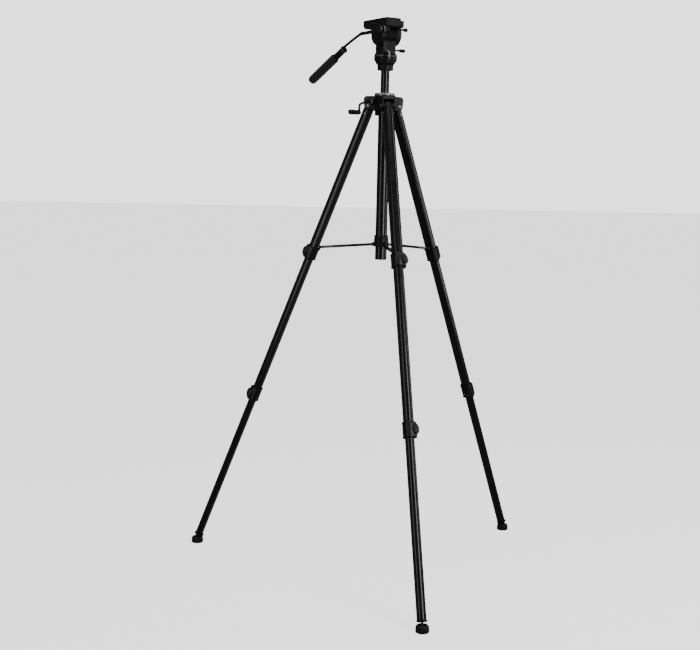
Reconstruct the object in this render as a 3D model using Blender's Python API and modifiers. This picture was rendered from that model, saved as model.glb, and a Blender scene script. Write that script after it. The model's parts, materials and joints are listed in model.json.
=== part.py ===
"""A full-size three-section tripod with a crank column, a mid-level brace and a fluid pan-and-tilt head.

Metres, +Z up, feet on Z = 0. One object for each sub-part. The column stands at COLUMN_Y so that the box
around the three feet is centred on the origin. Each leg is drawn in its own frame: origin on its hinge, +X
out from the leg's rounded front, +Y across, -Z down the leg. The head is drawn in a frame turned by
HEAD_YAW: +X along the tilt axis and +Y towards the pan handle's grip.
"""

import math

import bmesh
import bpy
from mathutils import Matrix, Vector

GAP = 0.0003  # between pieces that touch
OBJECT = "tripod"

# Legs
LEGS = {"front": -90, "right": 30, "left": 150}  # degrees round the column
HINGE_RADIUS = 0.0414
HINGE_Z = 1.3109
SPREAD = math.radians(21.813)  # each leg's angle to the column at rest
TUBE_WALL = 0.0012
UPPER_TUBE = (0.0150, 0.0110)  # half width, and depth of the flat back behind the centre line
MID_TUBE = (0.0135, 0.0095)
LOWER_TUBE = (0.0120, 0.0080)
TUBE_CORNER = 0.003
UPPER_TOP, UPPER_END = 0.012, 0.4497  # distances down the leg from its hinge
MID_TOP, MID_END = 0.400, 0.9060
LOWER_TOP, LOWER_END = 0.859, 1.3800
UPPER_CLAMP = (0.4280, 0.4680)
LOWER_CLAMP = (0.8830, 0.9260)
CLAMP_WALL = 0.0032
LEVER_THICKNESS = 0.0030
LEVER_HINGE_BACK = -0.0048  # the flip lever's hinge lies behind the tube's centre line
LEVER_BARREL = 0.0017
PAD_RADIUS, PAD_ANGLE = 0.0138, 45
KNUCKLE_RADIUS, KNUCKLE_HALF = 0.0105, 0.0155
PIN_RADIUS = 0.0030
CHEEK = (KNUCKLE_HALF + GAP, KNUCKLE_HALF + GAP + 0.0032)  # the shoulder's cheeks, beside the eye
BALL_DOWN = 1.3985  # the foot's ball joint, down the leg
FOOT_RADIUS, FOOT_HEIGHT = 0.0175, 0.0200
BALL_RADIUS = 0.0055

# Brace
LINK_DOWN, LINK_IN = 0.4243, 0.015  # the brace's outer pivot, down the leg and behind its centre line
HUB_PIVOT_RADIUS, HUB_PIVOT_Z = 0.0275, 0.9255
HUB_BOTTOM, HUB_TOP, HUB_RADIUS = 0.9198, 0.9520, 0.0205
BRACE_HEIGHT = 0.0076
ARM_WIDTH, ARM_LENGTH = 0.0036, 0.112
PLATE_THICKNESS, PLATE_LENGTH = 0.0017, 0.118
EAR = 0.0022

# Column
GUIDE_RADIUS, GUIDE_WALL, GUIDE_BOTTOM = 0.0165, 0.0018, 0.883
COLUMN_RADIUS, COLUMN_WALL = 0.0121, 0.0014
COLUMN_BOTTOM, COLUMN_TOP = 0.950, 1.4083
SHOULDER_BOTTOM, SHOULDER_TOP = 1.2980, 1.3380
COLLAR_RADIUS, COLLAR_TOP = 0.0288, 1.3460
CRANK_AZIMUTH = 210
CRANK_Z = 1.3224
GEAR_MODULE, GEAR_TEETH = 0.00125, 13
RACK_PITCH_RADIUS = 0.0110
RACK_BOTTOM, RACK_TOP = 1.010, 1.390
RACK_HALF = 0.0038
SHAFT_RADIUS, CRANK_SHAFT_END = 0.0035, 0.0420
CRANK_DROP = 0.0325
CRANK_ARM = [(0.0425, 0, 0), (0.0745, 0, -0.0096), (0.0764, 0, -CRANK_DROP)]
CRANK_KNOB = (0.0805, 0.1127)

# Head
HEAD_YAW = math.radians(19.13)
ADAPTER_TOP = 1.4330
BASE_RADIUS, BASE_TOP = 0.0320, 1.4500
TILT_Z, DRUM_RADIUS = 1.507, 0.0315
PLATFORM = ((-0.031, -0.051, 1.5215), (0.025, 0.072, 1.5405))
PLATE = ((-0.031, -0.051, 1.5408), (0.015, 0.072, 1.5480))
BODY_LEFT, BODY_RIGHT = -0.0215, 0.0325
CHEEK_LEFT, CHEEK_RIGHT = -0.0305, -0.0218
AXLE_RADIUS, PIVOT_PIN = 0.0050, 0.0060
LEVEL_AT = (-0.0150, -0.0340)
PAN_LOCK_Z = 1.4655
TILT_LOCK_AT = (-0.0060, 1.5225)
ROSETTE_AT = (-0.0455, 1.5135)  # along the head's Y and Z
ROSETTE_OUT, ROSETTE_RADIUS = -0.0318, 0.0100
EYE_THICKNESS = 0.0075
ROD_RADIUS = 0.0038  # the pan handle's bent rod
LEVER_SPAN, LEVER_Z = (-0.0120, 0.0300), (1.5310, 1.5375)
SCREW_AT = (-0.0080, 0.0480)
HANDLE = [  # the pan handle's bends: arm, rod, ferrule and the grip's end
    (ROSETTE_OUT - EYE_THICKNESS / 2, *ROSETTE_AT),
    (-0.0600, 0.0370, 1.5062),
    (-0.0745, 0.1029, 1.4734),
    (-0.0825, 0.1392, 1.4451),
    (-0.1045, 0.2412, 1.3886),
]

GEAR_RADIUS = GEAR_MODULE * GEAR_TEETH / 2
PINION_OFFSET = RACK_PITCH_RADIUS + GEAR_RADIUS
FOOT_CIRCLE = HINGE_RADIUS + BALL_DOWN * math.sin(SPREAD)
COLUMN_Y = FOOT_CIRCLE / 4


# ---------------------------------------------------------------- scene and materials


def collection(name):
    made = bpy.data.collections.new(name)
    bpy.context.scene.collection.children.link(made)
    return made


def material(name, colour, roughness, metallic=0.0):
    made = bpy.data.materials.new(name)
    made.use_nodes = True
    shader = made.node_tree.nodes["Principled BSDF"]
    shader.inputs["Base Color"].default_value = (*colour, 1)
    shader.inputs["Roughness"].default_value = roughness
    shader.inputs["Metallic"].default_value = metallic
    made.diffuse_color = (*colour, 1)
    return made


for old in list(bpy.data.objects):
    bpy.data.objects.remove(old)

PARTS = collection(OBJECT)
CUTTERS = collection("cutters")

TUBE = material("black_tube", (0.015, 0.015, 0.016), 0.28, 0.5)
PLASTIC = material("black_plastic", (0.022, 0.022, 0.023), 0.5)
CASTING = material("grey_casting", (0.055, 0.056, 0.060), 0.42, 0.2)
RUBBER = material("black_rubber", (0.018, 0.018, 0.018), 0.85)
STEEL = material("bright_steel", (0.62, 0.62, 0.63), 0.25, 1.0)
LEVER = material("satin_lever", (0.10, 0.10, 0.105), 0.4, 0.3)


# ---------------------------------------------------------------- shapes, as meshes


def evaluated_mesh(obj):
    """The object's mesh with its modifiers applied and its loose caps welded; the object is removed."""
    graph = bpy.context.evaluated_depsgraph_get()
    mesh = bpy.data.meshes.new_from_object(obj.evaluated_get(graph))
    bm = bmesh.new()
    bm.from_mesh(mesh)
    bmesh.ops.remove_doubles(bm, verts=bm.verts, dist=1e-6)
    bmesh.ops.recalc_face_normals(bm, faces=bm.faces)
    bm.to_mesh(mesh)
    bm.free()
    bpy.data.objects.remove(obj)
    return mesh


def box(low, high):
    low, high = Vector(low), Vector(high)
    bm = bmesh.new()
    bmesh.ops.create_cube(bm, size=1)
    bmesh.ops.scale(bm, vec=high - low, verts=bm.verts)
    bmesh.ops.translate(bm, vec=(low + high) / 2, verts=bm.verts)
    return finished(bm)


def finished(bm):
    mesh = bpy.data.meshes.new("shape")
    bm.to_mesh(mesh)
    bm.free()
    return mesh


def cylinder(radius, start, end, sides=24, end_radius=None):
    """A cylinder or cone between two points."""
    start, end = Vector(start), Vector(end)
    bm = bmesh.new()
    bmesh.ops.create_cone(
        bm,
        cap_ends=True,
        segments=sides,
        radius1=radius,
        radius2=radius if end_radius is None else end_radius,
        depth=(end - start).length,
    )
    turn = (end - start).to_track_quat("Z", "Y").to_matrix().to_4x4()
    bm.transform(Matrix.Translation((start + end) / 2) @ turn)
    return finished(bm)


def ball(radius, centre, sides=10):
    bm = bmesh.new()
    bmesh.ops.create_uvsphere(bm, u_segments=sides, v_segments=sides // 2, radius=radius)
    bmesh.ops.translate(bm, vec=centre, verts=bm.verts)
    return finished(bm)


def turned(profile, steps=32):
    """A profile of (radius, height) points, listed from the top down its outer side, spun about Z."""
    mesh = bpy.data.meshes.new("profile")
    edges = [(i, i + 1) for i in range(len(profile) - 1)]
    if profile[0][0] > 0:
        edges.append((len(profile) - 1, 0))
    mesh.from_pydata([(r, 0, z) for r, z in profile], edges, [])
    obj = bpy.data.objects.new("profile", mesh)
    CUTTERS.objects.link(obj)
    spin = obj.modifiers.new("spin", "SCREW")
    spin.steps = spin.render_steps = steps
    spin.use_merge_vertices = True
    spin.merge_threshold = 0.00001
    return evaluated_mesh(obj)


def prism(outlines, low, high):
    """Flat outlines in XY, the first the outside and the rest holes, given thickness from low to high."""
    curve = bpy.data.curves.new("outline", "CURVE")
    curve.dimensions = "2D"
    curve.fill_mode = "BOTH"
    curve.extrude = (high - low) / 2
    for outline in outlines:
        spline = curve.splines.new("POLY")
        spline.points.add(len(outline) - 1)
        for point, (x, y) in zip(spline.points, outline):
            point.co = (x, y, 0, 1)
        spline.use_cyclic_u = True
    obj = bpy.data.objects.new("outline", curve)
    CUTTERS.objects.link(obj)
    mesh = evaluated_mesh(obj)
    mesh.transform(Matrix.Translation((0, 0, (low + high) / 2)))
    return mesh


def extruded(outline, low, high):
    """A long outline with many corners, such as a rack's teeth, given thickness from low to high."""
    bm = bmesh.new()
    face = bm.faces.new([bm.verts.new((x, y, low)) for x, y in outline])
    side = bmesh.ops.extrude_face_region(bm, geom=[face])["geom"]
    raised = [v for v in side if isinstance(v, bmesh.types.BMVert)]
    bmesh.ops.translate(bm, vec=(0, 0, high - low), verts=raised)
    bmesh.ops.recalc_face_normals(bm, faces=bm.faces)
    return finished(bm)


def rod(points, radius, sides=2):
    """A round bar along straight stretches."""
    curve = bpy.data.curves.new("rod", "CURVE")
    curve.dimensions = "3D"
    curve.bevel_depth = radius
    curve.bevel_resolution = sides
    curve.use_fill_caps = True
    spline = curve.splines.new("POLY")
    spline.points.add(len(points) - 1)
    for point, co in zip(spline.points, points):
        point.co = (*co, 1)
    obj = bpy.data.objects.new("rod", curve)
    CUTTERS.objects.link(obj)
    return evaluated_mesh(obj)


def arc(radius, start, end, count, centre=(0, 0)):
    """Points on an arc, angles in degrees."""
    turns = [math.radians(start + (end - start) * i / count) for i in range(count + 1)]
    return [(centre[0] + radius * math.cos(a), centre[1] + radius * math.sin(a)) for a in turns]


def rounded_box_outline(low, high, corner, count=3):
    (x0, y0), (x1, y1) = low, high
    centres = [(x1 - corner, y1 - corner), (x0 + corner, y1 - corner)]
    centres += [(x0 + corner, y0 + corner), (x1 - corner, y0 + corner)]
    points = []
    for i, centre in enumerate(centres):
        points += arc(corner, 90 * i, 90 * i + 90, count, centre)
    return points


def tube_outline(section, grow=0.0, count=8):
    """A leg tube's outline: half round in front, flat behind, with rounded back corners."""
    half, back = section[0] + grow, section[1] + grow
    corner = TUBE_CORNER + min(grow, 0)
    points = arc(half, -90, 90, count)
    points += arc(corner, 90, 180, 2, (corner - back, half - corner))
    points += arc(corner, 180, 270, 2, (corner - back, corner - half))
    return points


def laid_along_x():
    """Turns a shape that stands along Z to lie along X."""
    return Matrix.Rotation(math.pi / 2, 4, "Y")


# ---------------------------------------------------------------- parts


def helper(mesh, frame):
    obj = bpy.data.objects.new("cutter", mesh)
    obj.matrix_world = frame
    obj.hide_render = True
    obj.display_type = "WIRE"
    CUTTERS.objects.link(obj)
    return obj


def part(name, mesh, finish, frame=None, pivot=(0, 0, 0), add=(), cut=()):
    """One sub-part, drawn in frame, with its origin at pivot, with shapes joined to it and cut from it."""
    frame = frame or Matrix.Translation((0, COLUMN_Y, 0))
    mesh.transform(Matrix.Translation(-Vector(pivot)))
    mesh.materials.append(finish)
    mesh.shade_smooth()
    mesh.set_sharp_from_angle(angle=math.radians(35))
    obj = bpy.data.objects.new(name, mesh)
    obj.matrix_world = frame @ Matrix.Translation(pivot)
    PARTS.objects.link(obj)
    for operation, shapes in (("UNION", add), ("DIFFERENCE", cut)):
        for shape in shapes:
            boolean = obj.modifiers.new(operation.lower(), "BOOLEAN")
            boolean.operation = operation
            boolean.object = helper(shape, frame)
    return obj


def column_frame(azimuth=0.0):
    return Matrix.Translation((0, COLUMN_Y, 0)) @ Matrix.Rotation(math.radians(azimuth), 4, "Z")


def leg_frame(azimuth):
    hinge = Matrix.Translation((HINGE_RADIUS, 0, HINGE_Z))
    return column_frame(azimuth) @ hinge @ Matrix.Rotation(-SPREAD, 4, "Y")


def leg_tube(name, section, top, end, frame):
    outlines = [tube_outline(section), tube_outline(section, -TUBE_WALL)]
    part(name, prism(outlines, -end, -top), TUBE, frame)


def leg_knuckle(name, frame):
    """The end that the upper tube hangs from: a plug inside the tube and a round eye with its hinge pin."""
    plug = tube_outline(UPPER_TUBE, -TUBE_WALL - GAP)
    eye = cylinder(KNUCKLE_RADIUS, (0, -KNUCKLE_HALF, 0), (0, KNUCKLE_HALF, 0), 16)
    neck = prism([tube_outline(UPPER_TUBE, -GAP)], -(UPPER_TOP - GAP), -0.004)
    pin = cylinder(PIN_RADIUS, (0, -CHEEK[1], 0), (0, CHEEK[1], 0), 12)
    part(name, prism([plug], -0.034, -0.008), PLASTIC, frame, add=[neck, eye, pin])


def clamp(name, outer, inner, span, frame, lug):
    """The collar at the end of a tube: it grips the next tube, which slides through it."""
    top, bottom = span
    step = (top + bottom) / 2 + 0.002
    wide = prism([tube_outline(outer, CLAMP_WALL)], -bottom, -top)
    cuts = [
        prism([tube_outline(outer, GAP)], -step, -top + 0.001),
        prism([tube_outline(inner, GAP)], -bottom - 0.001, -step + 0.001),
    ]
    adds = []
    if lug:
        inside, outside = ARM_WIDTH / 2 + PLATE_THICKNESS + GAP + 0.0002, 0.0072
        ear_outline = [(-0.0128, -top - 0.010), (-0.0188, -top - 0.006), (-0.0192, -LINK_DOWN)]
        ear_outline += arc(0.0042, 180, 20, 4, (-LINK_IN, -LINK_DOWN))
        ear_outline = [p if p[0] < -0.0114 else (-0.0114, p[1]) for p in ear_outline]
        for side in (-1, 1):
            low, high = sorted((side * inside, side * outside))
            ear = prism([ear_outline], low, high)
            ear.transform(Matrix.Rotation(math.pi / 2, 4, "X"))
            adds.append(ear)
        cuts.append(cylinder(0.0014, (-LINK_IN, -0.01, -LINK_DOWN), (-LINK_IN, 0.01, -LINK_DOWN), 10))
    part(name, wide, PLASTIC, frame, add=adds, cut=cuts)


def clamp_lever(name, outer, span, frame):
    """A flap that wraps round the collar's front, with a round thumb pad, hinged at the collar's side."""
    surface = outer[0] + CLAMP_WALL
    inner = surface + GAP
    middle = -(span[0] + span[1]) / 2
    half = (span[1] - span[0]) / 2 - 0.0025
    low, high = middle - half, middle + half
    x, y = LEVER_HINGE_BACK, inner + LEVER_BARREL
    flap = arc(inner, -38, 96, 8) + arc(inner + LEVER_THICKNESS, 96, -38, 8)
    aim = Vector((math.cos(math.radians(PAD_ANGLE)), math.sin(math.radians(PAD_ANGLE)), 0))
    centre = Vector((0, 0, middle))
    pad = cylinder(PAD_RADIUS, centre + aim * (inner + 0.0012), centre + aim * (inner + 0.0062), 16)
    barrel = cylinder(LEVER_BARREL, (x, y, low), (x, y, high), 10)
    web = box((x, y - 0.0013, low), (x + 0.0034, y + 0.0011, high))
    room = prism([tube_outline(outer, CLAMP_WALL + GAP * 0.8)], middle - 0.03, middle + 0.03)
    part(name, prism([flap], low, high), LEVER, frame, (x, y, middle), add=[pad, web, barrel], cut=[room])


def foot_socket(name, frame):
    """The cap on the lower tube's end, with the ball stud that the foot turns on."""
    end = -LOWER_END
    cap = cylinder(0.0143, (0, 0, end - GAP), (0, 0, end - 0.0062), 16)
    plug = prism([tube_outline(LOWER_TUBE, -TUBE_WALL - GAP)], end - 0.001, end + 0.016)
    shank = cylinder(0.0030, (0, 0, end - 0.005), (0, 0, -BALL_DOWN), 8)
    part(name, cap, PLASTIC, frame, add=[plug, shank, ball(BALL_RADIUS, (0, 0, -BALL_DOWN))])


def foot(name, azimuth):
    ball_z = HINGE_Z - BALL_DOWN * math.cos(SPREAD)
    profile = [(0.0100, FOOT_HEIGHT), (0.0138, 0.0190), (0.0166, 0.0160), (FOOT_RADIUS, 0.0120)]
    profile += [(FOOT_RADIUS, 0.0040), (0.0158, 0.0000), (0, 0)]
    socket = [(0.0112, FOOT_HEIGHT + 0.001), (0.0064, ball_z + 0.0015)]
    socket += [(0.0064 * math.cos(a), ball_z - 0.0064 * math.sin(a)) for a in (0.2, 0.6, 1.0, 1.3)]
    socket = [(0, FOOT_HEIGHT + 0.001)] + socket + [(0, ball_z - 0.0064)]
    profile = [(0, FOOT_HEIGHT)] + profile
    centre = (FOOT_CIRCLE, 0, 0)
    body, hole = turned(profile, 20), turned(socket, 12)
    for mesh in (body, hole):
        mesh.transform(Matrix.Translation(centre))
    part(name, body, RUBBER, column_frame(azimuth), (FOOT_CIRCLE, 0, ball_z), cut=[hole])


# ---------------------------------------------------------------- brace


def brace_geometry():
    """The outer pivot in the column's (radius, height) plane, the pivots' distance and the brace's slope."""
    radius = HINGE_RADIUS + LINK_DOWN * math.sin(SPREAD) - LINK_IN * math.cos(SPREAD)
    height = HINGE_Z - LINK_DOWN * math.cos(SPREAD) - LINK_IN * math.sin(SPREAD)
    reach = math.hypot(radius - HUB_PIVOT_RADIUS, HUB_PIVOT_Z - height)
    return radius, height, reach, math.atan2(HUB_PIVOT_Z - height, radius - HUB_PIVOT_RADIUS)


def bar_outline(start, end, half, round_start, round_end):
    points = arc(half, 90, 270, 6, (start, 0)) if round_start else [(start, half), (start, -half)]
    points += arc(half, -90, 90, 6, (end, 0)) if round_end else [(end, -half), (end, half)]
    return points


def brace(leg, azimuth):
    """Two nested links, so the brace can shorten: a flat arm on the hub inside two plates on the leg."""
    radius, height, reach, slope = brace_geometry()
    half = BRACE_HEIGHT / 2
    start = (HUB_PIVOT_RADIUS, 0, HUB_PIVOT_Z)
    # local +X runs from the hub to the leg, local +Z across the brace
    upright = Matrix.Rotation(slope, 4, "Y") @ Matrix.Rotation(math.pi / 2, 4, "X")
    frame = column_frame(azimuth) @ Matrix.Translation(start) @ upright
    hole = cylinder(0.0014, (0, 0, -0.01), (0, 0, 0.01), 10)
    arm = prism([bar_outline(0, ARM_LENGTH, half, True, False)], -ARM_WIDTH / 2, ARM_WIDTH / 2)
    part(f"brace_arm_{leg}", arm, TUBE, frame, cut=[hole])
    inside = ARM_WIDTH / 2 + GAP
    web = prism([bar_outline(reach - 0.008, reach, half - GAP, False, True)], -inside - GAP, inside + GAP)
    plates = [
        prism([bar_outline(reach - PLATE_LENGTH, reach, half, False, True)], *sorted((side * inside, edge)))
        for side, edge in ((-1, -inside - PLATE_THICKNESS), (1, inside + PLATE_THICKNESS))
    ]
    hole = cylinder(0.0014, (reach, 0, -0.01), (reach, 0, 0.01), 10)
    part(f"brace_link_{leg}", web, TUBE, frame, (reach, 0, 0), add=plates, cut=[hole])


def brace_hub():
    sleeve = turned(
        [
            (GUIDE_RADIUS + GAP, HUB_TOP),
            (HUB_RADIUS - 0.0012, HUB_TOP),
            (HUB_RADIUS, HUB_TOP - 0.002),
            (HUB_RADIUS, HUB_BOTTOM + 0.002),
            (HUB_RADIUS - 0.0012, HUB_BOTTOM),
            (GUIDE_RADIUS + GAP, HUB_BOTTOM),
        ],
        28,
    )
    adds, cuts = [], []
    outline = [(0.0180, 0.0085), (0.0180, -0.0050)] + arc(0.0046, -90, 80, 6, (HUB_PIVOT_RADIUS, 0))
    for azimuth in LEGS.values():
        turn = Matrix.Rotation(math.radians(azimuth), 4, "Z")
        place = turn @ Matrix.Translation((0, 0, HUB_PIVOT_Z)) @ Matrix.Rotation(math.pi / 2, 4, "X")
        near = ARM_WIDTH / 2 + GAP
        for side in (-1, 1):
            ear = prism([outline], *sorted((side * near, side * (near + EAR))))
            ear.transform(place)
            adds.append(ear)
        pivot = Vector((HUB_PIVOT_RADIUS, 0, HUB_PIVOT_Z))
        hole = cylinder(0.0014, pivot - Vector((0, 0.01, 0)), pivot + Vector((0, 0.01, 0)), 10)
        hole.transform(turn)
        cuts.append(hole)
    part("brace_hub", sleeve, PLASTIC, add=adds, cut=cuts)


# ---------------------------------------------------------------- shoulder and column



def cheek_outline():
    """A hinge cheek's side view, in radius and height."""
    top = SHOULDER_TOP - HINGE_Z
    points = [(0.020, -0.0125), (0.034, -0.0125)] + arc(0.0125, -90, -10, 5, (HINGE_RADIUS + 0.002, 0))
    points += arc(0.010, 0, 90, 4, (HINGE_RADIUS + 0.0075, top - 0.010)) + [(0.020, top)]
    return points


def shoulder():
    """The casting that the legs hinge on: a sleeve round the column, three hoods and the gear case."""
    profile = [(0, SHOULDER_TOP), (0.0270, SHOULDER_TOP), (0.0270, SHOULDER_BOTTOM + 0.004)]
    profile += [(0.0255, SHOULDER_BOTTOM), (0, SHOULDER_BOTTOM)]
    sleeve = turned(profile, 28)
    adds, cuts = [], []
    top = SHOULDER_TOP - HINGE_Z
    for azimuth in LEGS.values():
        turn = Matrix.Rotation(math.radians(azimuth), 4, "Z")
        place = turn @ Matrix.Translation((0, 0, HINGE_Z)) @ Matrix.Rotation(math.pi / 2, 4, "X")
        fork = prism([cheek_outline()], -CHEEK[1], CHEEK[1])
        fork.transform(place)
        adds.append(fork)
        slot = box((0.0272, -CHEEK[0], HINGE_Z - 0.02), (0.08, CHEEK[0], HINGE_Z + top - 0.0042))
        hole = cylinder(PIN_RADIUS + GAP, (HINGE_RADIUS, -0.03, HINGE_Z), (HINGE_RADIUS, 0.03, HINGE_Z), 16)
        for shape in (slot, hole):
            shape.transform(turn)
            cuts.append(shape)
    crank = Matrix.Rotation(math.radians(CRANK_AZIMUTH), 4, "Z")
    across = -PINION_OFFSET
    case = cylinder(0.0125, (-0.0150, across, CRANK_Z), (0.0370, across, CRANK_Z), 16)
    block = box((-0.0150, across - 0.0100, 1.2850), (0.0100, across + 0.0080, CRANK_Z))
    well = cylinder(0.0100, (-0.0060, across, CRANK_Z), (0.0060, across, CRANK_Z), 16)
    window = box((-0.0058, -0.0180, CRANK_Z - 0.0085), (0.0058, -0.0060, CRANK_Z + 0.0085))
    bearing = cylinder(SHAFT_RADIUS + GAP, (-0.0100, across, CRANK_Z), (0.04, across, CRANK_Z), 16)
    hollow = cylinder(GUIDE_RADIUS + GAP, (0, 0, 1.2800), (0, 0, SHOULDER_BOTTOM + 0.012), 28)
    for shape in (case, block, well, window, bearing, hollow):
        shape.transform(crank)
    column_bore = cylinder(COLUMN_RADIUS + GAP, (0, 0, 1.25), (0, 0, 1.36), 28)
    part(
        "shoulder",
        sleeve,
        CASTING,
        add=adds + [case, block],
        cut=cuts + [hollow, column_bore, well, window, bearing],
    )
    ring = [(COLUMN_RADIUS + GAP, COLLAR_TOP), (COLLAR_RADIUS - 0.002, COLLAR_TOP)]
    ring += [(COLLAR_RADIUS, COLLAR_TOP - 0.002), (COLLAR_RADIUS, SHOULDER_TOP + 0.0025)]
    ring += [(COLLAR_RADIUS - 0.001, SHOULDER_TOP + GAP), (COLUMN_RADIUS + GAP, SHOULDER_TOP + GAP)]
    part("collar_ring", turned(ring, 28), CASTING)
    guide = [
        (GUIDE_RADIUS - GUIDE_WALL, SHOULDER_BOTTOM + 0.011),
        (GUIDE_RADIUS, SHOULDER_BOTTOM + 0.011),
        (GUIDE_RADIUS, GUIDE_BOTTOM),
        (GUIDE_RADIUS - GUIDE_WALL, GUIDE_BOTTOM),
    ]
    part("guide_tube", turned(guide, 24), TUBE)


def column():
    """The geared column: a tube with a slot milled down it, and the toothed rack set in the slot."""
    frame = column_frame(CRANK_AZIMUTH)
    tube = turned(
        [
            (COLUMN_RADIUS - COLUMN_WALL, COLUMN_TOP),
            (COLUMN_RADIUS, COLUMN_TOP),
            (COLUMN_RADIUS, COLUMN_BOTTOM),
            (COLUMN_RADIUS - COLUMN_WALL, COLUMN_BOTTOM),
        ],
        24,
    )
    slot = box((-RACK_HALF, -0.02, RACK_BOTTOM), (RACK_HALF, -0.008, RACK_TOP))
    part("centre_column", tube, TUBE, frame, cut=[slot])
    pitch = math.pi * GEAR_MODULE
    tip, root = RACK_PITCH_RADIUS + 0.0006, RACK_PITCH_RADIUS - 0.0014
    outline = [(RACK_PITCH_RADIUS - 0.0030, RACK_BOTTOM + GAP), (root, RACK_BOTTOM + GAP)]
    teeth = int((RACK_TOP - RACK_BOTTOM - 0.004) / pitch)
    first = CRANK_Z - pitch * round((CRANK_Z - RACK_BOTTOM - 0.004) / pitch)
    for i in range(teeth):
        z = first + i * pitch
        outline += [(root, z - 0.00125), (tip, z - 0.00055), (tip, z + 0.00055), (root, z + 0.00125)]
    outline += [(root, RACK_TOP - GAP), (RACK_PITCH_RADIUS - 0.0030, RACK_TOP - GAP)]
    rack = extruded(outline, -RACK_HALF + GAP, RACK_HALF - GAP)
    # the outline's first axis points out of the column at the rack, its second one up
    rack.transform(Matrix(((0, 0, -1, 0), (-1, 0, 0, 0), (0, 1, 0, 0), (0, 0, 0, 1))))
    part("column_rack", rack, STEEL, frame)


def adapter():
    profile = [
        (0, ADAPTER_TOP - GAP),
        (0.0280, ADAPTER_TOP - GAP),
        (0.0282, ADAPTER_TOP - 0.003),
        (0.0222, ADAPTER_TOP - 0.011),
        (0.0222, COLUMN_TOP + 0.0015),
        (0.0214, COLUMN_TOP + GAP),
        (0, COLUMN_TOP + GAP),
    ]
    bore = COLUMN_RADIUS - COLUMN_WALL - GAP
    plug = cylinder(bore, (0, 0, COLUMN_TOP - 0.018), (0, 0, ADAPTER_TOP - 0.006), 24)
    part("head_adapter", turned(profile, 24), PLASTIC, add=[plug])


# ---------------------------------------------------------------- crank

def gear_outline():
    """The pinion's outline: straight-sided teeth, thin enough to run free in the rack."""
    points = []
    root, tip = GEAR_RADIUS - 0.0016, GEAR_RADIUS + 0.0009
    pitch = 360 / GEAR_TEETH
    for i in range(GEAR_TEETH):
        middle = (i + 0.5) * pitch
        for radius, half in ((root, 8.2), (GEAR_RADIUS, 5.6), (tip, 2.6)):
            points.append(arc(radius, middle - half, middle - half, 1)[0])
        for radius, half in ((tip, 2.6), (GEAR_RADIUS, 5.6), (root, 8.2)):
            points.append(arc(radius, middle + half, middle + half, 1)[0])
    return points


def crank():
    frame = column_frame(CRANK_AZIMUTH) @ Matrix.Translation((0, -PINION_OFFSET, CRANK_Z))
    along = Matrix(((0, 0, 1, 0), (1, 0, 0, 0), (0, 1, 0, 0), (0, 0, 0, 1)))
    pinion = prism([gear_outline()], -0.0032, 0.0032)
    pinion.transform(along)
    shaft = cylinder(SHAFT_RADIUS, (-0.0095, 0, 0), (CRANK_SHAFT_END, 0, 0), 16)
    part("crank_shaft", shaft, STEEL, frame, add=[pinion])
    hub = cylinder(0.0062, (0.0374, 0, 0), (0.0465, 0, 0), 20)
    eye = cylinder(0.0055, (0.0735, 0, -CRANK_DROP), (0.0795, 0, -CRANK_DROP), 16)
    spindle = cylinder(0.0022, (0.0790, 0, -CRANK_DROP), (CRANK_KNOB[1] - 0.003, 0, -CRANK_DROP), 12)
    bore = cylinder(SHAFT_RADIUS + GAP, (0.0300, 0, 0), (CRANK_SHAFT_END + GAP, 0, 0), 16)
    part("crank_arm", rod(CRANK_ARM, 0.0034), PLASTIC, frame, add=[hub, eye, spindle], cut=[bore])
    low, high = CRANK_KNOB
    profile = [(0, high), (0.0062, high), (0.0072, high - 0.0015), (0.0068, low + 0.008)]
    profile += [(0.0060, low + 0.006), (0.0072, low + 0.003), (0.0062, low), (0, low)]
    knob = turned(profile, 16)
    knob.transform(laid_along_x())
    knob.transform(Matrix.Translation((0, 0, -CRANK_DROP)))
    hole = cylinder(0.0026, (low - 0.01, 0, -CRANK_DROP), (high - 0.0025, 0, -CRANK_DROP), 12)
    part("crank_knob", knob, PLASTIC, frame, ((low + high) / 2, 0, -CRANK_DROP), cut=[hole])


# ---------------------------------------------------------------- head


def head_frame():
    return Matrix.Translation((0, COLUMN_Y, 0)) @ Matrix.Rotation(HEAD_YAW, 4, "Z")


def pan_base():
    profile = [
        (PIVOT_PIN, BASE_TOP + 0.010),
        (PIVOT_PIN, BASE_TOP),
        (BASE_RADIUS - 0.0012, BASE_TOP),
        (BASE_RADIUS, BASE_TOP - 0.0012),
        (BASE_RADIUS, ADAPTER_TOP + 0.0030),
        (BASE_RADIUS - 0.0020, ADAPTER_TOP),
        (0, ADAPTER_TOP),
    ]
    part("pan_base", turned([(0, BASE_TOP + 0.010)] + profile, 28), PLASTIC, head_frame())


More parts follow.
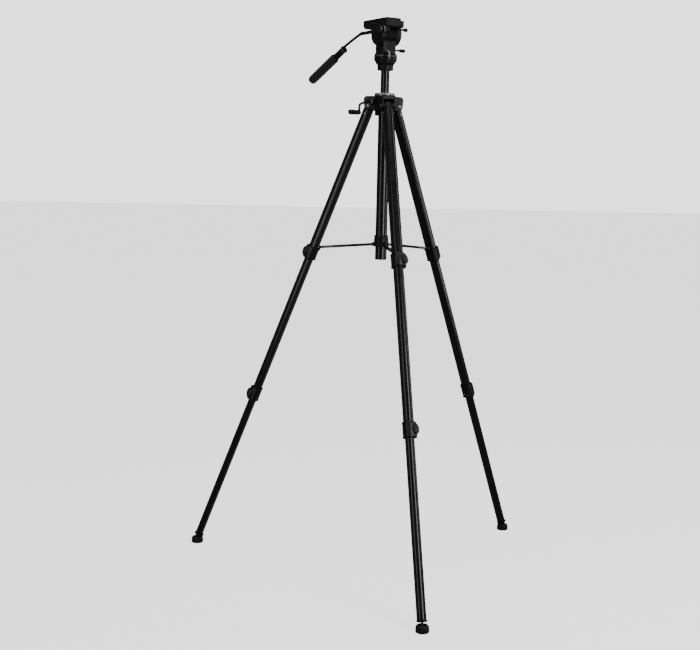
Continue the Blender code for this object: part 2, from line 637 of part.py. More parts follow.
def head_body():
    """The panning part: a square neck on the pan base, carrying the drum of the tilt drag."""
    low = BASE_TOP + GAP
    drum = cylinder(DRUM_RADIUS, (BODY_LEFT, 0, TILT_Z), (BODY_RIGHT, 0, TILT_Z), 32)
    neck = prism([rounded_box_outline((BODY_LEFT, -0.023), (0.0205, 0.023), 0.006)], low, TILT_Z - 0.012)
    foot_ring = cylinder(BASE_RADIUS - 0.0010, (0, 0, low), (0, 0, low + 0.0035), 28)
    boss = cylinder(0.0085, (*LEVEL_AT, low + 0.0005), (*LEVEL_AT, low + 0.0075), 24)
    bridge = box((-0.0235, -0.0340, low + 0.0005), (-0.0065, -0.0200, low + 0.0060))
    axle = cylinder(AXLE_RADIUS + GAP, (-0.05, 0, TILT_Z), (0.05, 0, TILT_Z), 20)
    pivot = cylinder(PIVOT_PIN + GAP, (0, 0, low - 0.001), (0, 0, BASE_TOP + 0.0105), 24)
    lock = cylinder(0.0032, (0.0120, 0, PAN_LOCK_Z), (0.03, 0, PAN_LOCK_Z), 12)
    tilt_lock = cylinder(0.0032, (0.0200, *TILT_LOCK_AT), (0.04, *TILT_LOCK_AT), 12)
    well = cylinder(0.0066, (*LEVEL_AT, low + 0.0040), (*LEVEL_AT, low + 0.02), 20)
    part(
        "head_body",
        drum,
        CASTING,
        head_frame(),
        add=[neck, foot_ring, bridge, boss],
        cut=[axle, pivot, lock, tilt_lock, well],
    )
    level = cylinder(0.0063, (*LEVEL_AT, low + 0.0043), (*LEVEL_AT, low + 0.0088), 20)
    part("spirit_level", level, STEEL, head_frame())
    shaft = cylinder(AXLE_RADIUS, (CHEEK_LEFT + 0.001, 0, TILT_Z), (BODY_RIGHT - 0.001, 0, TILT_Z), 20)
    part("tilt_axle", shaft, STEEL, head_frame())


def tilt_platform():
    """The tilting part: the camera platform, a cheek beside the drum and the pan handle's rosette."""
    (x0, y0, z0), (x1, y1, z1) = PLATFORM
    side = [(y0, z0 + 0.006), (y0 + 0.006, z0), (0.048, z0), (y1, z0 + 0.0085), (y1, z1), (y0, z1)]
    block = prism([side], x0, x1)
    block.transform(Matrix(((0, 0, 1, 0), (1, 0, 0, 0), (0, 1, 0, 0), (0, 0, 0, 1))))
    cheek = cylinder(DRUM_RADIUS, (CHEEK_LEFT, 0, TILT_Z), (CHEEK_RIGHT, 0, TILT_Z), 32)
    saddle = cylinder(DRUM_RADIUS + 0.0005, (CHEEK_RIGHT, 0, TILT_Z), (0.05, 0, TILT_Z), 32)
    under = box((ROSETTE_OUT + 0.0010, y0 + 0.0010, ROSETTE_AT[1] - 0.009), (-0.0220, -0.0270, z0 + 0.002))
    rosette = cylinder(ROSETTE_RADIUS, (ROSETTE_OUT, *ROSETTE_AT), (-0.0240, *ROSETTE_AT), 24)
    bore = cylinder(AXLE_RADIUS + GAP, (-0.05, 0, TILT_Z), (-0.01, 0, TILT_Z), 20)
    screw_hole = cylinder(0.0034, (ROSETTE_OUT - 0.01, *ROSETTE_AT), (-0.0235, *ROSETTE_AT), 12)
    pocket = box(
        (x0 - 0.001, LEVER_SPAN[0] - 0.001, LEVER_Z[0] - 0.0006),
        (x0 + 0.0035, LEVER_SPAN[1] + 0.001, LEVER_Z[1] + 0.0006),
    )
    screw_well = cylinder(0.0100, (*SCREW_AT, TILT_Z + 0.0360), (*SCREW_AT, z1 + 0.01), 24)
    part(
        "tilt_platform",
        block,
        PLASTIC,
        head_frame(),
        (0, 0, TILT_Z),
        add=[cheek, under, rosette],
        cut=[saddle, bore, screw_hole, pocket, screw_well],
    )


def quick_release():
    """The camera plate that slides out along the platform, its captive screw and the lever that locks it."""
    (x0, y0, z0), (x1, y1, z1) = PLATE
    outline = [(x0, z0), (x1, z0), (x1, z1 - 0.0012)]
    outline += [(x1 - 0.0012, z1), (x0 + 0.0012, z1), (x0, z1 - 0.0012)]
    plate = prism([outline], -y1, -y0)
    plate.transform(Matrix(((1, 0, 0, 0), (0, 0, -1, 0), (0, 1, 0, 0), (0, 0, 0, 1))))
    hole = cylinder(0.0036, (*SCREW_AT, z0 - 0.001), (*SCREW_AT, z1 + 0.001), 16)
    head_room = cylinder(0.0098, (*SCREW_AT, z0 - 0.001), (*SCREW_AT, z0 + 0.0035), 24)
    part("camera_plate", plate, PLASTIC, head_frame(), cut=[hole, head_room])
    stud = cylinder(0.00315, (*SCREW_AT, z0 + 0.0010), (*SCREW_AT, z1 - 0.0002), 16)
    head = cylinder(0.0092, (*SCREW_AT, z0 + 0.0002), (*SCREW_AT, z0 + 0.0030), 20)
    part("camera_screw", stud, STEEL, head_frame(), (*SCREW_AT, z0), add=[head])
    y0, y1 = LEVER_SPAN
    left = PLATFORM[0][0]
    outline = [(left + 0.0027, y0), (left + 0.0027, y1 - 0.010), (left - 0.0020, y1)]
    outline += [(left - 0.0050, y1), (left - 0.0045, y1 - 0.008)]
    outline += [(left - 0.0016, y1 - 0.018), (left - 0.0016, y0)]
    lever = prism([outline], *LEVER_Z)
    part("plate_lever", lever, LEVER, head_frame(), (left, y0 + 0.003, sum(LEVER_Z) / 2))


def knob_profile(length, radius):
    return [
        (0, length),
        (radius - 0.0010, length),
        (radius, length - 0.0012),
        (radius * 0.92, length * 0.45),
        (radius * 0.62, length * 0.30),
        (radius * 0.62, 0),
        (0, 0),
    ]


def lock_knob(name, start, across, height, length, radius, screw):
    """A knob whose screw runs along the head's X axis."""
    knob = turned(knob_profile(length, radius), 14)
    knob.transform(laid_along_x())
    knob.transform(Matrix.Translation((start, across, height)))
    stem = cylinder(0.0026, (start - screw, across, height), (start + 0.004, across, height), 12)
    part(name, knob, PLASTIC, head_frame(), (start, across, height), add=[stem])


def pan_handle():
    """The handle: a flat arm clamped on the rosette, a thin bent rod, a ferrule and a soft grip."""
    points = [Vector(p) for p in HANDLE]
    frame, pivot = head_frame(), (ROSETTE_OUT, *ROSETTE_AT)
    y, z = ROSETTE_AT
    out = ROSETTE_OUT - EYE_THICKNESS
    eye = cylinder(ROSETTE_RADIUS, (ROSETTE_OUT - GAP, y, z), (out, y, z), 24)
    arm = cylinder(0.0056, points[0].lerp(points[1], 0.17), points[0].lerp(points[1], 1.02), 16, 0.0045)
    root = box((out, y + 0.004, z - 0.0062), (ROSETTE_OUT - GAP, y + 0.0145, z + 0.0050))
    tail = cylinder(0.0045, points[1].lerp(points[0], 0.06), points[1].lerp(points[2], 0.12), 12, ROD_RADIUS + 0.0001)
    thin = rod([points[1].lerp(points[0], 0.1), points[1], points[2], points[3]], ROD_RADIUS)
    hole = cylinder(0.0034, (ROSETTE_OUT + 0.01, y, z), (ROSETTE_OUT - 0.02, y, z), 12)
    part("pan_handle_rod", eye, CASTING, frame, pivot, add=[root, arm, tail, thin], cut=[hole])
    aim = (points[4] - points[2]).normalized()
    turn = aim.to_track_quat("Z", "Y").to_matrix().to_4x4()
    length = (points[4] - points[3]).length
    neck = (points[3] - points[2]).length
    profile = [
        (0, length),
        (0.0070, length - 0.0015),
        (0.0110, length - 0.0055),
        (0.0130, length - 0.0120),
        (0.0132, 0.0020),
        (0.0124, 0.0000),
        (0.0096, -0.0005),
        (0.0096, 0.0040 - neck),
        (0.0110, 0.0036 - neck),
        (0.0110, -neck),
        (0, -neck),
    ]
    grip = turned(profile, 20)
    grip.transform(Matrix.Translation(points[3]) @ turn)
    room = rod([points[1], points[2], points[3] + (points[3] - points[2]) * 0.02], ROD_RADIUS + GAP)
    part("pan_handle_grip", grip, RUBBER, frame, pivot, cut=[room])
    clamp_knob = turned(knob_profile(0.0108, 0.0092), 20)
    clamp_knob.transform(Matrix.Rotation(-math.pi / 2, 4, "Y"))
    clamp_knob.transform(Matrix.Translation((out - GAP, y, z)))
    stem = cylinder(0.0028, (out - 0.0040, y, z), (-0.0240, y, z), 12)
    part("handle_clamp_knob", clamp_knob, PLASTIC, frame, pivot, add=[stem])


# ---------------------------------------------------------------- the tripod

for leg, azimuth in LEGS.items():
    frame = leg_frame(azimuth)
    leg_knuckle(f"leg_knuckle_{leg}", frame)
    leg_tube(f"upper_tube_{leg}", UPPER_TUBE, UPPER_TOP, UPPER_END, frame)
    leg_tube(f"mid_tube_{leg}", MID_TUBE, MID_TOP, MID_END, frame)
    leg_tube(f"lower_tube_{leg}", LOWER_TUBE, LOWER_TOP, LOWER_END, frame)
    clamp(f"upper_clamp_{leg}", UPPER_TUBE, MID_TUBE, UPPER_CLAMP, frame, True)
    clamp(f"lower_clamp_{leg}", MID_TUBE, LOWER_TUBE, LOWER_CLAMP, frame, False)
    clamp_lever(f"upper_lever_{leg}", UPPER_TUBE, UPPER_CLAMP, frame)
    clamp_lever(f"lower_lever_{leg}", MID_TUBE, LOWER_CLAMP, frame)
    foot_socket(f"foot_socket_{leg}", frame)
    foot(f"foot_{leg}", azimuth)
    brace(leg, azimuth)

brace_hub()
shoulder()
column()
adapter()
crank()
pan_base()
head_body()
tilt_platform()
quick_release()
lock_knob("pan_lock_knob", 0.0385, 0, PAN_LOCK_Z, 0.0240, 0.0052, 0.0250)
lock_knob("tilt_lock_knob", 0.0480, *TILT_LOCK_AT, 0.0175, 0.0052, 0.0270)
pan_handle()
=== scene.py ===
"""The looks of a full-size camera tripod with a crank column, a mid-level brace and a pan-and-tilt head.

Laid out as a Blender add-on and run as a script. Metres, +Z up, feet on the floor. Each piece is drawn in
the frame of its own sub-part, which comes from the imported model's joints: a leg's frame has its origin on the
hinge, +X out of the leg's rounded front and +Z up the leg; the head's has +X along the tilt axis and +Y
towards the grip.
"""

import json
import math

import bmesh
import bpy
from mathutils import Matrix, Vector


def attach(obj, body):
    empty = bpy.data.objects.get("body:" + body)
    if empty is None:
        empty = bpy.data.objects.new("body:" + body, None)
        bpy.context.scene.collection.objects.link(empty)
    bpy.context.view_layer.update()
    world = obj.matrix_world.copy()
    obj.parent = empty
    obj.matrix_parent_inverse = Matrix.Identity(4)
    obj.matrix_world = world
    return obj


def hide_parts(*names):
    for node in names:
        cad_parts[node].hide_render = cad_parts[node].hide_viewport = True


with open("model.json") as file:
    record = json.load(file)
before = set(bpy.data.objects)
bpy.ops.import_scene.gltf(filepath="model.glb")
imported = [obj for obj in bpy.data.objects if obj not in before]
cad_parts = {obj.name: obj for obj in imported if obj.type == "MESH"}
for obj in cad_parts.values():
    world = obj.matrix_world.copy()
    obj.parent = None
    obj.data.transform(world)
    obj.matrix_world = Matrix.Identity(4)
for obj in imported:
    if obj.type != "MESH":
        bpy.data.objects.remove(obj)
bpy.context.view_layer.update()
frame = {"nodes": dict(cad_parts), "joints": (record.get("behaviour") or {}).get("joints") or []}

bl_info = {
    "name": "Camera Tripod Looks",
    "version": (1, 0, 0),
    "blender": (4, 5, 0),
    "location": "View3D > Sidebar > Tripod",
    "description": "Models the visible pieces and finishes of a camera tripod round its solid parts",
    "category": "Object",
}

JOINTS = {joint["name"]: joint for joint in frame["joints"]}
LEGS = ("front", "right", "left")
GAP = 0.0003  # running clearance between pieces
UP = Vector((0, 0, 1))


# ---------------------------------------------------------------- frames of the sub-parts


def joint_axis(name):
    return Vector(JOINTS[name]["axis"]).normalized()


def joint_point(name):
    return Vector(JOINTS[name]["pos_m"])


def placing(x, y, z, origin):
    """The matrix that puts a shape's own axes on x, y and z, with its origin at origin."""
    place = Matrix((x, y, z)).transposed().to_4x4()
    place.translation = origin
    return place


COLUMN_AXIS = Vector((*joint_point("pan").xy, 0))
COLUMN = Matrix.Translation(COLUMN_AXIS)


def leg_place(leg):
    across, up = joint_axis(f"leg_fold_{leg}"), joint_axis(f"mid_slide_{leg}")
    return placing(across.cross(up), across, up, joint_point(f"leg_fold_{leg}"))


def leg_column_place(leg):
    """The column's frame, turned so that +X points at the leg."""
    across = joint_axis(f"leg_fold_{leg}")
    return placing(across.cross(UP), across, UP, COLUMN_AXIS)


def crank_place():
    """The column's frame, turned so that +X points along the crank's shaft."""
    out = joint_axis("crank_turn")
    return placing(out, UP.cross(out), UP, COLUMN_AXIS)


def head_place():
    across = joint_axis("handle_angle")
    return placing(across, UP.cross(across), UP, COLUMN_AXIS)


def span(node, place):
    """Lowest and highest corner of a solid part in a sub-part's own frame."""
    back = place.inverted()
    points = [back @ vertex.co for vertex in frame["nodes"][node].data.vertices]
    low = Vector([min(point[i] for point in points) for i in range(3)])
    return low, Vector([max(point[i] for point in points) for i in range(3)])


# ---------------------------------------------------------------- sizes and colours


class TripodSizes(bpy.types.PropertyGroup):
    """Sizes that the solid parts don't settle."""

    edge: bpy.props.FloatProperty(
        name="Edge", description="Rounding of moulded edges", default=0.0007, unit="LENGTH"
    )
    tube_wall: bpy.props.FloatProperty(
        name="Tube Wall", description="Wall of the leg tubes", default=0.0012, unit="LENGTH"
    )
    collar_wall: bpy.props.FloatProperty(
        name="Collar Wall", description="Wall of the leg clamps' collars", default=0.0032, unit="LENGTH"
    )
    pad_radius: bpy.props.FloatProperty(
        name="Pad Radius", description="Radius of a clamp lever's thumb pad", default=0.0136, unit="LENGTH"
    )
    fin_pitch: bpy.props.FloatProperty(
        name="Fin Pitch", description="Distance between the drum's fins", default=0.0058, unit="LENGTH"
    )
    rod_radius: bpy.props.FloatProperty(
        name="Rod Radius", description="Radius of the pan handle's rod", default=0.0038, unit="LENGTH"
    )


class TripodColours(bpy.types.PropertyGroup):
    """Colours of the finishes."""

    tube: bpy.props.FloatVectorProperty(
        name="Tube", description="Anodised tubes", default=(0.0045, 0.0045, 0.005), subtype="COLOR"
    )
    plastic: bpy.props.FloatVectorProperty(
        name="Plastic",
        description="Moulded collars and caps",
        default=(0.007, 0.007, 0.0075),
        subtype="COLOR",
    )
    casting: bpy.props.FloatVectorProperty(
        name="Casting", description="Painted castings", default=(0.013, 0.0132, 0.0145), subtype="COLOR"
    )
    lever: bpy.props.FloatVectorProperty(
        name="Lever", description="Satin levers", default=(0.022, 0.0225, 0.024), subtype="COLOR"
    )
    rubber: bpy.props.FloatVectorProperty(
        name="Rubber", description="Feet and grip", default=(0.008, 0.008, 0.008), subtype="COLOR"
    )
    steel: bpy.props.FloatVectorProperty(
        name="Steel", description="Pins, screws and rings", default=(0.62, 0.62, 0.63), subtype="COLOR"
    )


class TripodStage(bpy.types.PropertyGroup):
    """Where the camera stands, and how strong the light is."""

    distance: bpy.props.FloatProperty(
        name="Distance", description="From the column to the camera", default=3.5154, unit="LENGTH"
    )
    height: bpy.props.FloatProperty(
        name="Height", description="Height of the camera", default=1.1171, unit="LENGTH"
    )
    bearing: bpy.props.FloatProperty(
        name="Bearing",
        description="Camera's turn round the column",
        default=math.radians(-12.87),
        unit="ROTATION",
    )
    dip: bpy.props.FloatProperty(
        name="Dip", description="How far the camera looks down", default=math.radians(6.7355), unit="ROTATION"
    )
    roll: bpy.props.FloatProperty(
        name="Roll", description="Camera's roll", default=math.radians(1.391), unit="ROTATION"
    )
    lens: bpy.props.FloatProperty(name="Lens", description="Focal length in millimetres", default=64.05)
    white: bpy.props.FloatProperty(name="White", description="Brightness of the white backdrop", default=1.7)
    fill: bpy.props.FloatProperty(
        name="Fill", description="Light that the backdrop gives the tripod", default=0.10
    )


# ---------------------------------------------------------------- finishes


class Finish:
    """A Principled material that reads the surface's own Object coordinates."""

    def __init__(self, name, colour, roughness, metallic=0.0):
        self.material = bpy.data.materials.new(name)
        self.material.use_nodes = True
        self.nodes = self.material.node_tree.nodes
        self.links = self.material.node_tree.links
        self.shader = self.nodes["Principled BSDF"]
        self.colour = (*colour, 1)
        self.shader.inputs["Base Color"].default_value = self.colour
        self.shader.inputs["Roughness"].default_value = roughness
        self.shader.inputs["Metallic"].default_value = metallic
        self.coordinates = self.nodes.new("ShaderNodeTexCoord")
        self.heights = []

    def set(self, **values):
        for name, value in values.items():
            self.shader.inputs[name.replace("_", " ")].default_value = value

    def noise(self, scale, detail=3.0, stretch=(1, 1, 1)):
        mapping = self.nodes.new("ShaderNodeMapping")
        mapping.inputs["Scale"].default_value = stretch
        self.links.new(self.coordinates.outputs["Object"], mapping.inputs["Vector"])
        noise = self.nodes.new("ShaderNodeTexNoise")
        noise.inputs["Scale"].default_value = scale
        noise.inputs["Detail"].default_value = detail
        self.links.new(mapping.outputs["Vector"], noise.inputs["Vector"])
        return noise.outputs["Fac"]

    def cells(self, scale):
        cells = self.nodes.new("ShaderNodeTexVoronoi")
        cells.inputs["Scale"].default_value = scale
        self.links.new(self.coordinates.outputs["Object"], cells.inputs["Vector"])
        return cells.outputs["Distance"]

    def mottle(self, pattern, darker, lighter, low=0.35, high=0.65):
        """The colour drifts between two shades of itself along a pattern."""
        ramp = self.nodes.new("ShaderNodeValToRGB")
        for element, place, shade in zip(ramp.color_ramp.elements, (low, high), (darker, lighter)):
            element.position = place
            element.color = [channel * shade for channel in self.colour[:3]] + [1]
        self.links.new(pattern, ramp.inputs["Fac"])
        self.links.new(ramp.outputs["Color"], self.shader.inputs["Base Color"])

    def scuff(self, pattern, low, high):
        """The roughness drifts between two values along a pattern."""
        spread = self.nodes.new("ShaderNodeMapRange")
        spread.inputs["From Min"].default_value = 0.3
        spread.inputs["From Max"].default_value = 0.7
        spread.inputs["To Min"].default_value = low
        spread.inputs["To Max"].default_value = high
        self.links.new(pattern, spread.inputs["Value"])
        self.links.new(spread.outputs["Result"], self.shader.inputs["Roughness"])

    def relief(self, pattern, depth, strength=1.0):
        """Fine relief of that depth; a second call adds to the first."""
        bump = self.nodes.new("ShaderNodeBump")
        bump.inputs["Distance"].default_value = depth
        bump.inputs["Strength"].default_value = strength
        self.links.new(pattern, bump.inputs["Height"])
        if self.heights:
            self.links.new(self.heights[-1].outputs["Normal"], bump.inputs["Normal"])
        self.heights.append(bump)
        self.links.new(bump.outputs["Normal"], self.shader.inputs["Normal"])


def anodised_tube(colours):
    """Black anodised aluminium: faint draw lines along the tube and a little handling wear."""
    finish = Finish("anodised_tube", colours.tube, 0.22)
    finish.mottle(finish.noise(9), 0.85, 1.25)
    finish.scuff(finish.noise(38, 5), 0.18, 0.27)
    finish.relief(finish.noise(260, 2, (6, 6, 0.12)), 0.00002, 0.4)
    finish.relief(finish.noise(2600, 2), 0.00001, 0.3)
    finish.set(Specular_IOR_Level=0.55)
    return finish.material


def moulded_plastic(colours):
    """Satin black nylon with spark-eroded texture."""
    finish = Finish("moulded_plastic", colours.plastic, 0.42)
    finish.mottle(finish.noise(14), 0.85, 1.2)
    finish.scuff(finish.noise(60, 4), 0.36, 0.5)
    finish.relief(finish.cells(2400), 0.00005, 0.5)
    finish.relief(finish.noise(900, 4), 0.00005, 0.4)
    finish.set(Specular_IOR_Level=0.32)
    return finish.material


def painted_casting(colours):
    """Charcoal stove enamel over a die casting: slight orange peel and fine speckle."""
    finish = Finish("painted_casting", colours.casting, 0.38, 0.1)
    finish.mottle(finish.noise(1500, 2), 0.82, 1.25)
    finish.scuff(finish.noise(45, 4), 0.32, 0.46)
    finish.relief(finish.noise(420, 3), 0.00012, 0.45)
    finish.relief(finish.noise(3200, 2), 0.00003, 0.4)
    finish.set(Specular_IOR_Level=0.42)
    return finish.material


def satin_lever(colours):
    """Smooth satin grey plastic, polished a little where thumbs press."""
    finish = Finish("satin_lever", colours.lever, 0.34)
    finish.mottle(finish.noise(22), 0.9, 1.12)
    finish.scuff(finish.noise(70, 5), 0.27, 0.42)
    finish.relief(finish.noise(1300, 3), 0.00004, 0.35)
    return finish.material


def ribbed_rubber(colours):
    """Matt rubber with dust in its pores."""
    finish = Finish("ribbed_rubber", colours.rubber, 0.78)
    finish.mottle(finish.noise(120, 5), 0.75, 1.7)
    finish.scuff(finish.noise(180, 4), 0.68, 0.88)
    finish.relief(finish.noise(1400, 4), 0.00010, 0.6)
    return finish.material


def foam_grip(colours):
    """Closed-cell foam: small pores over a soft skin."""
    finish = Finish("foam_grip", colours.rubber, 0.86)
    # The pores are coloured darker than the skin between them, along the same cells as the relief below:
    # painted shade in the pores.
    finish.mottle(finish.cells(900), 0.55, 1.9, 0.05, 0.6)
    finish.relief(finish.cells(900), 0.00028, 0.8)
    finish.relief(finish.noise(2200, 4), 0.00010, 0.6)
    finish.set(Sheen_Weight=0.25, Sheen_Roughness=0.5)
    return finish.material


def plated_steel(colours):
    """Plated steel with turning marks and fine wear."""
    finish = Finish("plated_steel", colours.steel, 0.24, 1.0)
    finish.mottle(finish.noise(60, 3), 0.8, 1.08)
    finish.scuff(finish.noise(240, 5), 0.18, 0.36)
    finish.relief(finish.noise(1800, 2, (1, 1, 4)), 0.00003, 0.4)
    return finish.material


def satin_aluminium(colours):
    """Turned aluminium trim, satin."""
    finish = Finish("satin_aluminium", colours.steel, 0.36, 0.9)
    finish.mottle(finish.noise(90, 3), 0.62, 0.78)
    finish.scuff(finish.noise(300, 4), 0.3, 0.46)
    finish.relief(finish.noise(1200, 2, (1, 1, 8)), 0.00003, 0.4)
    return finish.material


def bubble_level(colours):
    """The spirit level's tinted fluid under clear plastic."""
    finish = Finish("bubble_level", (0.42, 0.62, 0.12), 0.06)
    finish.mottle(finish.noise(160, 1), 0.92, 1.08)
    finish.set(Coat_Weight=1.0, Coat_Roughness=0.03)
    return finish.material


def printed_mark(colours):
    """White pad-printed graduations."""
    finish = Finish("printed_mark", (0.70, 0.70, 0.69), 0.5)
    finish.mottle(finish.noise(900, 3), 0.8, 1.05)
    return finish.material


# finish: (maker of the material, the record's slot)
FINISHES = {
    "tube": (anodised_tube, "black_tube"),
    "plastic": (moulded_plastic, "black_plastic"),
    "casting": (painted_casting, "grey_casting"),
    "lever": (satin_lever, "satin_lever"),
    "rubber": (ribbed_rubber, "black_rubber"),
    "foam": (foam_grip, "black_rubber"),
    "steel": (plated_steel, "bright_steel"),
    "trim": (satin_aluminium, "bright_steel"),
    "level": (bubble_level, "bright_steel"),
    "mark": (printed_mark, "bright_steel"),
}
MADE = {}


def finish_of(name):
    if name not in MADE:
        MADE[name] = FINISHES[name][0](bpy.context.scene.tripod_colours)
    return MADE[name]


# ---------------------------------------------------------------- shapes


def settled(shape, place=None):
    """Merges a shape's doubles, turns its faces outwards and puts it in place."""
    bmesh.ops.remove_doubles(shape, verts=shape.verts, dist=1e-7)
    bmesh.ops.recalc_face_normals(shape, faces=shape.faces)
    if place:
        bmesh.ops.transform(shape, matrix=place, verts=shape.verts)
    return shape


def rounded_edges(shape, width, segments=3, angle=35):
    """Bevels the edges that are sharper than the angle."""
    edges = [e for e in shape.edges if e.is_manifold and e.calc_face_angle(0) > math.radians(angle)]
    bmesh.ops.bevel(
        shape,
        geom=edges,
        offset=width,
        offset_type="OFFSET",
        affect="EDGES",
        segments=segments,
        profile=0.5,
        material=-1,
        clamp_overlap=True,
    )
    return shape


def turned(profile, place=None, steps=64, closed=False):
    """A profile of (radius, height) points turned round Z; closed for a ring that has a hole."""
    shape = bmesh.new()
    points = [shape.verts.new((max(radius, 0), 0, height)) for radius, height in profile]
    edges = [shape.edges.new(pair) for pair in zip(points, points[1:])]
    if closed:
        edges.append(shape.edges.new((points[-1], points[0])))
    bmesh.ops.spin(
        shape,
        geom=points + edges,
        axis=(0, 0, 1),
        cent=(0, 0, 0),
        angle=math.tau,
        steps=steps,
        use_merge=True,
    )
    return settled(shape, place)


def block(low, high, place=None, edge=0.0):
    shape = bmesh.new()
    low, high = Vector(low), Vector(high)
    bmesh.ops.create_cube(shape, size=1)
    bmesh.ops.scale(shape, vec=high - low, verts=shape.verts)
    bmesh.ops.translate(shape, vec=(low + high) / 2, verts=shape.verts)
    if edge:
        rounded_edges(shape, edge)
    return settled(shape, place)


def slab(outline, low, high, place=None, edge=0.0, segments=3):
    """A flat outline pulled from low to high along Z."""
    shape = bmesh.new()
    face = shape.faces.new([shape.verts.new((x, y, low)) for x, y in outline])
    pulled = bmesh.ops.extrude_face_region(shape, geom=[face])["geom"]
    moved = [item for item in pulled if isinstance(item, bmesh.types.BMVert)]
    bmesh.ops.translate(shape, vec=(0, 0, high - low), verts=moved)
    settled(shape)
    if edge:
        rims = [e for e in shape.edges if abs(e.verts[0].co.z - e.verts[1].co.z) < 1e-9]
        bmesh.ops.bevel(
            shape,
            geom=rims,
            offset=edge,
            offset_type="OFFSET",
            affect="EDGES",
            segments=segments,
            profile=0.5,
            material=-1,
            clamp_overlap=True,
        )
    return settled(shape, place)


def lofted(rings, place=None, closed=False):
    """Rings of points joined in order; the ends are filled, or the last ring joins the first."""
    shape = bmesh.new()
    loops = []
    for ring in rings:
        points = [shape.verts.new(point) for point in ring]
        loops.append([shape.edges.new(pair) for pair in zip(points, points[1:] + points[:1])])
    pairs = list(zip(loops, loops[1:]))
    if closed:
        pairs.append((loops[-1], loops[0]))
    for first, second in pairs:
        bmesh.ops.bridge_loops(shape, edges=first + second)
    if not closed:
        bmesh.ops.holes_fill(shape, edges=[edge for edge in shape.edges if edge.is_boundary])
    return settled(shape, place)


def swept(path, radii, place=None, sides=24, flat=1.0):
    """A round bar along a path, with a radius at each point; flat squeezes its section."""
    rings = []
    for i, point in enumerate(path):
        run = path[min(i + 1, len(path) - 1)] - path[max(i - 1, 0)]
        turn = run.to_track_quat("Z", "Y").to_matrix()
        angles = [math.tau * k / sides for k in range(sides)]
        ring = [Vector((radii[i] * flat * math.cos(a), radii[i] * math.sin(a), 0)) for a in angles]
        rings.append([point + turn @ offset for offset in ring])
    return lofted(rings, place)


def arc(radius, start, end, count, centre=(0, 0)):
    """Points on an arc, angles in degrees."""
    turns = [math.radians(start + (end - start) * i / count) for i in range(count + 1)]
    return [(centre[0] + radius * math.cos(a), centre[1] + radius * math.sin(a)) for a in turns]


def curved(points, steps=10):
    """A smooth path through the points."""
    path = []
    ends = [points[0] * 2 - points[1]] + list(points) + [points[-1] * 2 - points[-2]]
    for before, a, b, after in zip(ends, ends[1:], ends[2:], ends[3:]):
        for i in range(steps):
            t = i / steps
            path.append(
                0.5
                * (
                    2 * a
                    + (b - before) * t
                    + (2 * before - 5 * a + 4 * b - after) * t**2
                    + (3 * a - before - 3 * b + after) * t**3
                )
            )
    return path + [points[-1]]


def fluted(radius, depth, count, steps=8):
    """A knob's outline with that many shallow flutes."""
    points = []
    for i in range(count * steps):
        angle = math.tau * i / (count * steps)
        reach = radius - depth * (0.5 + 0.5 * math.cos(count * angle))
        points.append((reach * math.cos(angle), reach * math.sin(angle)))
    return points


def leg_section(half, back, grow=0.0, count=20):
    """A leg tube's outline: half round in front, flat behind, with rounded back corners."""
    half, back = half + grow, back + grow
    corner = 0.003 + min(grow, 0)
    points = arc(half, -90, 90, count)
    points += arc(corner, 90, 180, 5, (corner - back, half - corner))
    return points + arc(corner, 180, 270, 5, (corner - back, corner - half))


def section_rings(section, levels):
    """Rings of a leg section, one for each (grow, height)."""
    return [[Vector((x, y, height)) for x, y in leg_section(*section, grow)] for grow, height in levels]


def along(axis, origin):
    """Turns a shape that stands on Z to point along an axis from an origin."""
    turn = Vector(axis).normalized().to_track_quat("Z", "Y").to_matrix().to_4x4()
    return Matrix.Translation(origin) @ turn


def screw_head(radius, height, place):
    """A pan-head screw with a cross recess, standing on Z."""
    profile = [(0, -0.001), (radius, -0.001), (radius, height * 0.35), (radius * 0.9, height * 0.75)]
    profile += [
        (radius * 0.68, height), (radius * 0.5, height), (radius * 0.42, height * 0.5), (0, height * 0.45)
    ]
    return turned(profile, place, 32)


def piece(name, body, finish, shapes, replaces=(), place=None, edge=0.0):
    """Joins shapes into one finished object that rides on a body and stands for the solid parts named."""
    joined = bmesh.new()
    for shape in shapes:
        mesh = bpy.data.meshes.new("shape")
        shape.to_mesh(mesh)
        shape.free()
        joined.from_mesh(mesh)
        bpy.data.meshes.remove(mesh)
    if place:
        bmesh.ops.transform(joined, matrix=place, verts=joined.verts)
    mesh = bpy.data.meshes.new(name)
    joined.to_mesh(mesh)
    joined.free()
    mesh.shade_smooth()
    mesh.set_sharp_from_angle(angle=math.radians(32))
    mesh.materials.append(finish_of(finish))
    obj = bpy.data.objects.new(name, mesh)
    bpy.context.scene.collection.objects.link(obj)
    if edge:
        bevel = obj.modifiers.new("edges", "BEVEL")
        bevel.width = edge
        bevel.segments = 2
        bevel.limit_method = "ANGLE"
        bevel.angle_limit = math.radians(38)
        bevel.harden_normals = True
    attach(obj, body)
    if replaces:
        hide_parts(*replaces)
    return obj


def refinish(node, finish):
    """Gives a solid part that stays in view a finish."""
    slots = frame["nodes"][node].data.materials
    slots.clear()
    slots.append(finish_of(finish))


# ---------------------------------------------------------------- legs


